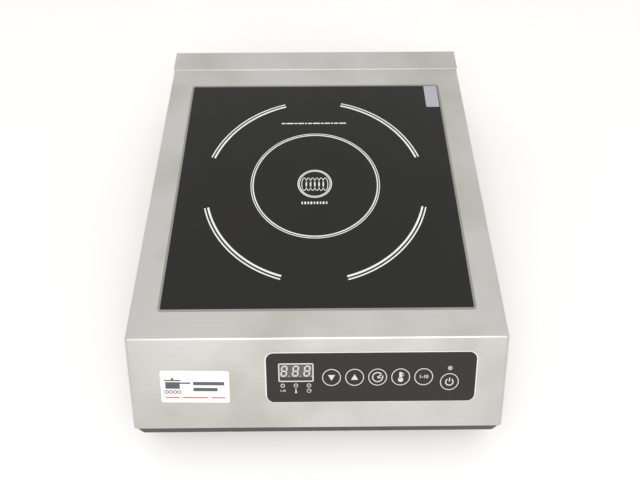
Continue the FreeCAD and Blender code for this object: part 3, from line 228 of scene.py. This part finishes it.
tree.links.new(bump.outputs["Normal"], shader.inputs["Normal"])
shader.inputs["Metallic"].default_value = 1.0
shader.inputs["Anisotropic"].default_value = 0.75
wear(steel, "housing", "rear_panel")


# ------------------------------------------------------------ base pan
# A folded tray of steel sheet that closes the case from below, painted with a fine-textured dark
# grey powder.

def moulded(name, colour, roughness, drift=0.06, patch=14.0, speck=1500.0, depth=0.00003,
            metallic=0.0, **fixed):
    """A finish whose colour and gloss drift a little over the piece, over a fine even texture."""
    material, tree, shader, place = new_finish(name)
    clouds = add(tree, "TexNoise", {"Vector": place, "Scale": patch,
                                    "Detail": 4.0}).outputs["Fac"]
    dots = add(tree, "TexNoise", {"Vector": place, "Scale": speck,
                                  "Detail": 2.0}).outputs["Fac"]
    darker = (*(part * (1 - drift) for part in colour[:3]), 1.0)
    lighter = (*(part * (1 + drift) for part in colour[:3]), 1.0)
    tree.links.new(ramp(tree, clouds, [(0.35, darker), (0.65, lighter)]),
                   shader.inputs["Base Color"])
    gloss = add(tree, "MapRange", {"Value": dots, "From Min": 0.35, "From Max": 0.65,
                                   "To Min": roughness * 0.88, "To Max": roughness * 1.12})
    tree.links.new(gloss.outputs["Result"], shader.inputs["Roughness"])
    bump = add(tree, "Bump", {"Height": dots, "Strength": 0.5, "Distance": depth})
    tree.links.new(bump.outputs["Normal"], shader.inputs["Normal"])
    shader.inputs["Metallic"].default_value = metallic
    for socket, number in fixed.items():
        shader.inputs[socket.replace("_", " ")].default_value = number
    return material


wear(moulded("powder_coat", tone(27, 27, 26), 0.55, speck=1100.0, depth=0.00008), "base_pan")


# ------------------------------------------------------------ glass plate
# Black glass-ceramic, 4 mm, with ground and arrised edges, bedded in light grey silicone.  It is
# all but opaque, and very slightly uneven like any rolled glass.

glass, tree, shader, place = new_finish("glass_ceramic")
roll = add(tree, "TexNoise", {"Vector": place, "Scale": 6.0, "Detail": 1.0}).outputs["Fac"]
smudge = add(tree, "TexNoise", {"Vector": place, "Scale": 25.0, "Detail": 5.0}).outputs["Fac"]
tree.links.new(ramp(tree, smudge, [(0.35, (0.0025, 0.0024, 0.0023, 1)),
                                   (0.75, (0.0040, 0.0037, 0.0034, 1))]),
               shader.inputs["Base Color"])
shine = add(tree, "MapRange", {"Value": smudge, "From Min": 0.3, "From Max": 0.8, "To Min": 0.012,
                               "To Max": 0.03})
tree.links.new(shine.outputs["Result"], shader.inputs["Roughness"])
bump = add(tree, "Bump", {"Height": roll, "Strength": 0.05, "Distance": 0.0001})
tree.links.new(bump.outputs["Normal"], shader.inputs["Normal"])
shader.inputs["IOR"].default_value = 1.50
shader.inputs["Specular IOR Level"].default_value = 0.42
wear(glass, "glass_plate")
wear(moulded("seal_silicone", tone(138, 136, 131), 0.45, speck=700.0), "glass_seal")


# ------------------------------------------------------------ glass decor
# Enamel fired onto the glass: a double ring for the pan, four double arcs round it, a coil sign in
# the middle, and two rows of short dashes where a maker would print words.

MM = 0.001
PRINT_THICK = 0.04           # all print sizes are in millimetres
ARC_SPANS = [(17, 75), (107, 162.6), (195.5, 253.3), (285.2, 344.3)]


def ring(bm, x, y, radius, line, steps=48, tall=1.0):
    """A flat ring; tall stretches it into an oval whose line stays as wide."""
    loops = []
    for reach in (radius, radius - line):
        round_it = Matrix.Diagonal((reach, reach + (tall - 1) * radius, 1, 1))
        loops += bmesh.ops.create_circle(
            bm, segments=steps, radius=1.0,
            matrix=Matrix.Translation((x, y, 0)) @ round_it)["verts"]
    edges = list({edge for vert in loops for edge in vert.link_edges})
    bmesh.ops.bridge_loops(bm, edges=edges)


def arc(bm, x, y, radius, line, start, end, steps=24):
    """A flat band along part of a circle, between two angles in degrees."""
    angle = math.radians(start)
    out = Vector((math.cos(angle), math.sin(angle), 0))
    middle = Vector((x, y, 0))
    ends = [bm.verts.new(middle + out * reach) for reach in (radius, radius - line)]
    bmesh.ops.spin(bm, geom=[*ends, bm.edges.new(ends)], cent=middle, axis=(0, 0, 1),
                   angle=math.radians(end - start), steps=steps)


def bar(bm, x, y, width, height, turn=0.0, lean=0.0):
    """A flat bar, turned in degrees or leaned over like italic type."""
    shape = Matrix.Diagonal((width, height, 1, 1))
    slant = Matrix.Identity(4)
    slant[0][1] = lean
    bmesh.ops.create_grid(bm, x_segments=1, y_segments=1, size=0.5,
                          matrix=Matrix.Translation((x, y, 0)) @ slant
                          @ Matrix.Rotation(math.radians(turn), 4, "Z") @ shape)


def disc(bm, x, y, radius, steps=32, turn=0.0):
    """A filled circle, or with three steps a triangle."""
    bmesh.ops.create_circle(bm, cap_ends=True, segments=steps, radius=radius,
                            matrix=Matrix.Translation((x, y, 0))
                            @ Matrix.Rotation(math.radians(turn), 4, "Z"))


def print_on(name, bm, lay, material, body, thick=PRINT_THICK):
    """Give flat print its thickness, lay it on its surface and let it ride on a body."""
    raised = bmesh.ops.extrude_face_region(bm, geom=list(bm.faces))["geom"]
    bmesh.ops.translate(bm, vec=(0, 0, thick),
                        verts=[part for part in raised if isinstance(part, bmesh.types.BMVert)])
    bmesh.ops.recalc_face_normals(bm, faces=list(bm.faces))
    bmesh.ops.transform(bm, matrix=lay, verts=list(bm.verts))
    thing = as_object(name, bm, material)
    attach(thing, body)
    return thing


def dashes(bm, left, right, y, height, lengths, gap):
    """A row of short bars from left to right, their lengths taken in turn."""
    at, index = left, 0
    while at < right:
        length = min(lengths[index % len(lengths)], right - at)
        bar(bm, at + length / 2, y, length, height)
        at += length + gap
        index += 1


glass_low, glass_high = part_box("glass_plate")
glass_middle = (glass_low + glass_high) / 2
on_glass = (Matrix.Translation((glass_middle.x, glass_middle.y, glass_high.z))
            @ Matrix.Scale(MM, 4))
enamel = moulded("white_enamel", tone(230, 231, 234), 0.35, drift=0.05, patch=90.0)

decor = bmesh.new()
ring(decor, -1.0, 0, 63.2, 1.2, steps=128)
ring(decor, -1.0, 0, 65.0, 0.8, steps=128)
for start, end in ARC_SPANS:
    arc(decor, -1.0, 0, 109.9, 1.9, start, end)
    arc(decor, -1.0, 0, 112.9, 1.3, start, end)
ring(decor, -1.5, -1.0, 17.3, 0.9, steps=64)
ring(decor, -1.5, -1.0, 15.9, 0.8, steps=64)
for turn in range(6):
    ring(decor, -12.1 + 4.25 * turn, -1.7, 2.85, 0.72, steps=32, tall=2.82)
dashes(decor, -14.6, 12.0, -24.4, 2.8, (1.3, 1.7), 1.5)
dashes(decor, -37.0, 33.0, 79.7, 1.5, (4.2, 7.5, 3.0, 6.0, 2.2), 1.1)
print_on("glass_print", decor, on_glass, enamel, "base")


# ------------------------------------------------------------ sticker on the glass
# A small pale film sticker at the rear right corner of the plate.

wear(moulded("sticker_film", tone(170, 170, 180), 0.3, drift=0.03, patch=40.0), "glass_sticker")


# ------------------------------------------------------------ control overlay
# A dark polycarbonate panel glued on the slope, printed from behind.  White print frames the
# window and the lamps.

WINDOW_FRAME = (30.6, 17.8)
LAMP_RING = 1.9


def outer_face(name, normal, slack=0.00005):
    """The middle of a CAD piece's face that lies furthest out along a direction."""
    points = [vert.co for vert in nodes[name].data.vertices]
    top = max(point.dot(normal) for point in points)
    rim = [point for point in points if point.dot(normal) > top - slack]
    low = Vector(map(min, zip(*rim)))
    high = Vector(map(max, zip(*rim)))
    return (low + high) / 2


def loose_pieces(name):
    """The lowest and highest corners of each separate solid in a CAD piece."""
    bm = bmesh.new()
    bm.from_mesh(nodes[name].data)
    bmesh.ops.remove_doubles(bm, verts=list(bm.verts), dist=1e-6)
    waiting, boxes = set(bm.verts), []
    while waiting:
        front, found = [waiting.pop()], []
        while front:
            vert = front.pop()
            found.append(vert.co.copy())
            for edge in vert.link_edges:
                other = edge.other_vert(vert)
                if other in waiting:
                    waiting.remove(other)
                    front.append(other)
        boxes.append((Vector(map(min, zip(*found))), Vector(map(max, zip(*found)))))
    bm.free()
    return boxes


press = next(joint for joint in frame["joints"] if joint["name"] == "key_power_press")
slope_out = -Vector(press["axis"]).normalized()
slope_up = slope_out.cross(Vector((1, 0, 0)))


def on_slope(point, turn=0.0):
    """A place on the slope, in millimetres: X across, Y up the slope and Z out of it."""
    axes = Matrix((Vector((1, 0, 0)), slope_up, slope_out)).transposed().to_4x4()
    return (Matrix.Translation(point) @ axes @ Matrix.Rotation(math.radians(turn), 4, "Z")
            @ Matrix.Scale(MM, 4))


def frame_line(bm, width, height, corner, line):
    """A flat rounded rectangle of one line width, measured outside."""
    face = bmesh.ops.create_grid(bm, x_segments=1, y_segments=1, size=0.5,
                                 matrix=Matrix.Diagonal((width, height, 1, 1)))
    rounded = bmesh.ops.bevel(bm, geom=face["verts"], affect="VERTICES", offset=corner,
                              segments=6, profile=0.5, material=-1)
    inner = list({touching for vert in rounded["verts"] for touching in vert.link_faces})
    bmesh.ops.inset_individual(bm, faces=inner, thickness=line, use_even_offset=True)
    bmesh.ops.delete(bm, geom=inner, context="FACES_ONLY")


def lettering(bm, words, height, x, y):
    """Plain sans numerals as flat mesh, centred at x and y."""
    text = bpy.data.curves.new("numerals", "FONT")
    text.body = words
    text.size = height / 0.7
    text.offset = 0.035 * text.size
    text.align_x, text.align_y = "CENTER", "CENTER"
    text.resolution_u = 4
    holder = bpy.data.objects.new("numerals", text)
    flat = bpy.data.meshes.new_from_object(holder)
    flat.transform(Matrix.Translation((x, y, 0)))
    bm.from_mesh(flat)
    bpy.data.objects.remove(holder)
    bpy.data.curves.remove(text)
    bpy.data.meshes.remove(flat)


def thermometer(bm, x, y, size):
    """A bulb with a tall stem."""
    disc(bm, x, y - 0.32 * size, 0.22 * size, steps=20)
    bar(bm, x, y + 0.16 * size, 0.2 * size, 0.68 * size)


def clock(bm, x, y, radius):
    """A dial with one hand."""
    ring(bm, x, y, radius, 0.24 * radius, steps=28)
    bar(bm, x + 0.28 * radius, y + 0.16 * radius, 0.75 * radius, 0.24 * radius, turn=30)


overlay_low, overlay_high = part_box("control_overlay")
overlay_middle = (overlay_low + overlay_high) / 2
overlay_thick = 2 * (outer_face("control_overlay", slope_out) - overlay_middle).dot(slope_out)
panel_width = (overlay_high.x - overlay_low.x) / MM
panel_height = (((overlay_high - overlay_low).z - overlay_thick * slope_out.z) / slope_up.z) / MM
fascia = moulded("dark_fascia", tone(20, 18, 16), 0.05, drift=0.04, patch=30.0, speck=500.0,
                 depth=0.000001, IOR=1.58)
wear(fascia, "control_overlay")
panel_face = overlay_middle + slope_out * overlay_thick / 2
on_panel = on_slope(panel_face)

white_print = moulded("white_print", tone(207, 207, 206), 0.4, drift=0.03, patch=120.0)


def across_panel(name):
    """Where a CAD piece's outer face lies on the panel, in millimetres from its middle."""
    offset = outer_face(name, slope_out) - panel_face
    return offset.x / MM, offset.dot(slope_up) / MM


marks = bmesh.new()
window_x, window_y = across_panel("display_module")
frame_line(marks, *WINDOW_FRAME, 1.5, 1.1)
bmesh.ops.translate(marks, vec=(window_x, window_y, 0), verts=list(marks.verts))
lamps = []
for low, high in loose_pieces("indicator_lamps"):
    offset = (low + high) / 2 - panel_face
    lamps.append((offset.x / MM, offset.dot(slope_up) / MM))
lamps.sort()
for x, y in lamps:
    ring(marks, x, y, LAMP_RING, 0.65, steps=28)
disc(marks, *lamps[-1], 0.8, steps=20)
sign_y = lamps[0][1] - 5.1
lettering(marks, "1-10", 1.9, lamps[0][0], sign_y)
thermometer(marks, lamps[1][0], sign_y, 4.4)
clock(marks, lamps[2][0], sign_y, 2.0)
print_on("fascia_print", marks, on_panel, white_print, "base")


# ------------------------------------------------------------ keys
# Six caps flush with the panel, in its own dark plastic.  Each is printed with a white ring and a
# sign, and both go down with the cap.

KEY_RING = 8.15
KEY_LINE = 0.75

wear(moulded("key_cap", tone(20, 18, 16), 0.055, drift=0.04, patch=60.0, speck=500.0,
             depth=0.000001, IOR=1.58),
     "key_down", "key_up", "key_timer", "key_temperature", "key_level", "key_power")


def sign_down(bm):
    disc(bm, 0, 0.6, 3.6, steps=3, turn=180)


def sign_up(bm):
    disc(bm, 0, -0.6, 3.6, steps=3)


def sign_timer(bm):
    arc(bm, 0, 0, 4.9, 1.0, 40, 380)
    bar(bm, 1.4, 1.1, 4.0, 1.0, turn=35)
    bar(bm, 1.5, -0.6, 3.0, 0.9)


def sign_temperature(bm):
    disc(bm, 0, -2.6, 2.3, steps=24)
    bar(bm, 0, 1.6, 2.6, 6.2)
    bar(bm, 2.2, 3.2, 1.2, 0.7)
    bar(bm, 2.2, 1.4, 1.2, 0.7)


def sign_level(bm):
    lettering(bm, "1-10", 3.1, 0, 0)


def sign_power(bm):
    arc(bm, 0, -0.2, 3.7, 1.0, 125, 415)
    bar(bm, 0, 2.0, 1.0, 3.9)


SIGNS = {"key_down": sign_down, "key_up": sign_up, "key_timer": sign_timer,
         "key_temperature": sign_temperature, "key_level": sign_level, "key_power": sign_power}
for key, draw in SIGNS.items():
    cap_print = bmesh.new()
    ring(cap_print, 0, 0, KEY_RING, KEY_LINE, steps=64)
    draw(cap_print)
    print_on(key + "_print", cap_print, on_slope(outer_face(key, slope_out)), white_print, key)


# ------------------------------------------------------------ display
# A three-digit module behind the window: a grey face with pale slanted segments, all off.

DIGIT_PITCH = 9.94
DIGIT_LEAN = 0.12
DIGIT_RISE = 1.2             # how far the digits sit above the window's middle
SEGMENT_LINE = 1.2

wear(moulded("display_face", tone(88, 87, 85), 0.35, drift=0.05, patch=60.0), "display_module")
segments = bmesh.new()
for index in (-1, 0, 1):
    middle = index * DIGIT_PITCH - 0.5
    for y in (-4.6, 0.0, 4.6):
        bar(segments, middle + DIGIT_LEAN * (y + DIGIT_RISE), y + DIGIT_RISE, 3.6, SEGMENT_LINE)
    for side in (-1, 1):
        for y in (-2.3, 2.3):
            bar(segments, middle + side * 2.2 + DIGIT_LEAN * (y + DIGIT_RISE), y + DIGIT_RISE,
                SEGMENT_LINE, 3.4, lean=DIGIT_LEAN)
    disc(segments, middle + 4.2, -3.6, 0.42, steps=14)
print_on("display_segments", segments, on_slope(outer_face("display_module", slope_out)),
         moulded("segment_off", tone(214, 213, 210), 0.4, drift=0.03), "base",
         thick=0.05)
# Painted shade: a dark band laid over the foot of the display.
painted_shade_strip = bmesh.new()
bar(painted_shade_strip, 0, -6.2, 28.0, 2.6)
print_on("display_painted_shade", painted_shade_strip, on_slope(outer_face("display_module", slope_out)),
         moulded("display_painted_shade", tone(48, 47, 45), 0.4), "base", thick=0.03)


# ------------------------------------------------------------ indicator lamps
# Four small domed light pipes, unlit, in milky plastic.

wear(moulded("lamp_lens", tone(66, 64, 62), 0.2, drift=0.04), "indicator_lamps")


# ------------------------------------------------------------ edge of the overlay, a painted highlight
# The cut edge of the panel: a narrow border, coloured near-white as a painted highlight where the
# edge catches the light.

EDGE_LINE = 1.0
PANEL_CORNER = 6.5

highlight_ring_bm = bmesh.new()
frame_line(highlight_ring_bm, panel_width + 2 * EDGE_LINE, panel_height + 2 * EDGE_LINE,
           PANEL_CORNER + EDGE_LINE, EDGE_LINE)
print_on("fascia_edge_highlight", highlight_ring_bm, on_slope(overlay_middle - slope_out * overlay_thick / 2),
         moulded("edge_painted_highlight", tone(250, 250, 248), 0.15, drift=0.02, Coat_Weight=0.4),
         "base", thick=0.55)


# ------------------------------------------------------------ front label
# A white vinyl label, stuck on by hand and so a little askew.  It carries a plain pan-over-coil
# sign, two grey bars and a thin red line.

LABEL_INK_THICK = 0.03

wear(moulded("label_film", tone(236, 235, 233), 0.3, drift=0.02), "front_label")
label_sign = bmesh.new()
bar(label_sign, -19.5, 1.2, 12.5, 6.4)
bar(label_sign, -8.8, 3.5, 9.6, 1.4)
bar(label_sign, -19.5, 6.0, 14.5, 1.2)
disc(label_sign, -19.5, 7.4, 1.1, steps=20)
for x in (-25.0, -21.35, -17.7, -14.05):
    ring(label_sign, x, -5.2, 1.75, 0.7, steps=20)
for y, width in ((3.2, 27.0), (-2.6, 21.0)):
    bar(label_sign, -1.5 + width / 2, y, width, 3.2)
on_label = on_slope(outer_face("front_label", slope_out), turn=-1.0)
print_on("label_sign", label_sign, on_label, moulded("grey_ink", tone(84, 86, 92), 0.5),
         "base", thick=LABEL_INK_THICK)
label_line = bmesh.new()
for x, width in ((-20.0, 12.0), (0.0, 22.0), (20.0, 12.0)):
    bar(label_line, x, -10.6, width, 1.1)
print_on("label_line", label_line, on_label, moulded("dull_red_ink", tone(186, 92, 98), 0.5),
         "base", thick=LABEL_INK_THICK)


# ------------------------------------------------------------ control carrier and board
# Behind the slope: a black moulded carrier, the control board with its six push switches, the
# ribbon to the power board and the nuts and screws that hold them.

wear(moulded("carrier_plastic", tone(44, 44, 45), 0.5, speck=900.0), "control_carrier")


def circuit_board(name, colour, pitch):
    """Green lacquer over a copper pattern, with rows of small pads."""
    material, tree, shader, place = new_finish(name)
    tracks = add(tree, "TexBrick", {"Vector": place, "Scale": pitch, "Mortar Size": 0.03,
                                    "Color1": (*colour, 1),
                                    "Mortar": (*(part * 2.2 for part in colour), 1),
                                    "Color2": (*(part * 0.8 for part in colour), 1)})
    pads = add(tree, "TexVoronoi", {"Vector": place, "Scale": pitch * 2.6}, feature="F1")
    copper = add(tree, "Math", {0: pads.outputs["Distance"], 1: 0.16}, operation="LESS_THAN")
    mixed = add(tree, "Mix", {0: copper.outputs[0], 6: tracks.outputs["Color"],
                              7: (0.55, 0.52, 0.47, 1)}, data_type="RGBA")
    tree.links.new(mixed.outputs[2], shader.inputs["Base Color"])
    bump = add(tree, "Bump", {"Height": tracks.outputs["Fac"], "Strength": 0.4,
                              "Distance": 0.00004})
    tree.links.new(bump.outputs["Normal"], shader.inputs["Normal"])
    shader.inputs["Roughness"].default_value = 0.35
    return material


wear(circuit_board("green_board", (0.012, 0.085, 0.035), 90.0), "control_board", "power_board")
wear(moulded("switch_plastic", tone(38, 38, 40), 0.4), "key_switches", "board_connectors",
     "terminal_block", "fuse_holder", "relay")
zinc = moulded("zinc_steel", tone(196, 196, 190), 0.32, drift=0.10, patch=160.0, metallic=1.0)
wear(zinc, "foot_nuts", "control_nuts", "control_board_screws", "small_screws", "fan_screws")
wear(moulded("ribbon_cable", tone(150, 152, 156), 0.45), "ribbon_cable")


# ------------------------------------------------------------ coil
# Litz wire wound flat in a moulded carrier, with ferrite bars below, a mica sheet above, and an
# aluminium plate on four posts that presses the stack to the glass.

litz, tree, shader, place = new_finish("copper_litz")
strands = add(tree, "TexNoise", {"Vector": place, "Scale": 2600.0, "Detail": 3.0}).outputs["Fac"]
tree.links.new(ramp(tree, strands, [(0.35, tone(120, 52, 24)), (0.65, tone(214, 122, 72))]),
               shader.inputs["Base Color"])
bump = add(tree, "Bump", {"Height": strands, "Strength": 0.8, "Distance": 0.0002})
tree.links.new(bump.outputs["Normal"], shader.inputs["Normal"])
shader.inputs["Metallic"].default_value = 0.8
shader.inputs["Roughness"].default_value = 0.42
wear(litz, "coil_winding")
wear(moulded("coil_moulding", tone(216, 208, 190), 0.55), "coil_carrier", "sensor_holder")
wear(moulded("ferrite", tone(52, 52, 55), 0.5, drift=0.15, patch=200.0), "ferrite_bars")
wear(moulded("mica", tone(200, 184, 150), 0.35, drift=0.14, patch=70.0), "mica_sheet")
wear(moulded("aluminium", tone(214, 215, 217), 0.34, metallic=1.0, patch=30.0), "coil_plate",
     "coil_posts", "heatsink")
wear(moulded("sensor_glass", tone(190, 120, 60), 0.2), "temperature_sensor")
wear(moulded("red_silicone", tone(150, 60, 42), 0.5), "coil_leads")


# ------------------------------------------------------------ power board
# Everything that feeds the coil: capacitors in sleeves, the choke, the relay and the transistors
# clamped under the finned heatsink.

wear(moulded("capacitor_film", tone(214, 196, 60), 0.3), "film_capacitors")
wear(moulded("capacitor_sleeve", tone(28, 34, 58), 0.25), "electrolytic_capacitors")
wear(moulded("choke", tone(168, 92, 40), 0.35, drift=0.2, patch=300.0), "filter_choke")
wear(moulded("epoxy_package", tone(30, 30, 31), 0.45), "power_semiconductors")
wear(moulded("standoff_plastic", tone(232, 230, 222), 0.45), "board_standoffs")


# ------------------------------------------------------------ fans
# Two axial fans on the pan with black frames and rotors, each under a duct that sends its air over
# the board.

fan_black = moulded("fan_plastic", tone(36, 36, 37), 0.42, speck=1300.0)
wear(fan_black, "fan_frame_left", "fan_frame_right", "fan_rotor_left", "fan_rotor_right")
wear(moulded("duct_plastic", tone(88, 88, 86), 0.5), "air_duct_left", "air_duct_right")


# ------------------------------------------------------------ feet
# Four turned rubber feet, each held by a screw up through the pan.

wear(moulded("foot_rubber", tone(34, 33, 32), 0.75, speck=1600.0, depth=0.00006),
     "foot_front_left", "foot_front_right", "foot_rear_left", "foot_rear_right")


# ------------------------------------------------------------ case screws
# Zinc-plated pan-head screws with a cross recess: two in each side, three in the rear panel and
# one in every foot.

HEAD_STEPS = 40
HEAD_HEIGHT = 2.4
SHANK_RADIUS = 2.0


def screw_head(radius, height):
    """A domed pan head that stands on Z = 0, with a tapered cross recess in its top."""
    bm = bmesh.new()
    bmesh.ops.create_cone(bm, cap_ends=True, segments=HEAD_STEPS, radius1=radius,
                          radius2=radius * 0.94, depth=height,
                          matrix=Matrix.Translation((0, 0, height / 2)))
    rim = [edge for edge in bm.edges if all(vert.co.z > height * 0.9 for vert in edge.verts)]
    bmesh.ops.bevel(bm, geom=rim, affect="EDGES", offset=height * 0.42, segments=4, profile=0.5,
                    material=-1)
    head = as_object("head_blank", bm, zinc)
    cutter_bm = bmesh.new()
    for turn in (0, 90):
        bmesh.ops.create_cone(
            cutter_bm, cap_ends=True, segments=4, radius1=radius * 0.42, radius2=radius * 0.86,
            depth=height * 0.75,
            matrix=Matrix.Rotation(math.radians(turn), 4, "Z")
            @ Matrix.Translation((0, 0, height * 0.68)) @ Matrix.Diagonal((1, 0.24, 1, 1))
            @ Matrix.Rotation(math.radians(45), 4, "Z"))
    cutter = as_object("head_cutter", cutter_bm, zinc)
    cut = head.modifiers.new("recess", "BOOLEAN")
    cut.object = cutter
    cut.operation = "DIFFERENCE"
    cut.use_self = True
    bpy.context.view_layer.update()
    finished = bpy.data.meshes.new_from_object(
        head.evaluated_get(bpy.context.evaluated_depsgraph_get()))
    for thing in (head, cutter):
        bpy.data.objects.remove(thing)
    return finished


def detailed_screws(name, node, outward_of):
    """Screws with cut recesses in place of plain ones; outward_of says where a head looks."""
    bm = bmesh.new()
    for low, high in loose_pieces(node):
        middle, size = (low + high) / 2, high - low
        out = outward_of(middle)
        span = abs(size.dot(out))
        radius = sorted(size)[1] / 2 if span == max(size) else max(size) / 2
        height, shank = HEAD_HEIGHT * MM, SHANK_RADIUS * MM
        foot = middle + out * (span / 2 - height)
        turn = out.to_track_quat("Z", "Y").to_matrix().to_4x4()
        head = screw_head(radius, height)
        head.transform(Matrix.Translation(foot) @ turn)
        bm.from_mesh(head)
        bmesh.ops.create_cone(bm, cap_ends=True, segments=24, radius1=shank * 0.8, radius2=shank,
                              depth=span - height,
                              matrix=Matrix.Translation(foot - out * (span - height) / 2) @ turn)
    screws = as_object(name, bm, zinc)
    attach(screws, "base")
    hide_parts(node)


detailed_screws("side_screw_set", "side_screws",
                lambda middle: Vector((math.copysign(1, middle.x), 0, 0)))
detailed_screws("rear_screw_set", "rear_screws", lambda middle: Vector((0, 1, 0)))
detailed_screws("foot_screw_set", "foot_screws", lambda middle: Vector((0, 0, -1)))


# ------------------------------------------------------------ cable gland
# A black nylon gland in the rear panel, with its lock nut inside.

wear(moulded("gland_plastic", tone(40, 40, 41), 0.45, speck=1000.0), "gland_body", "gland_nut")
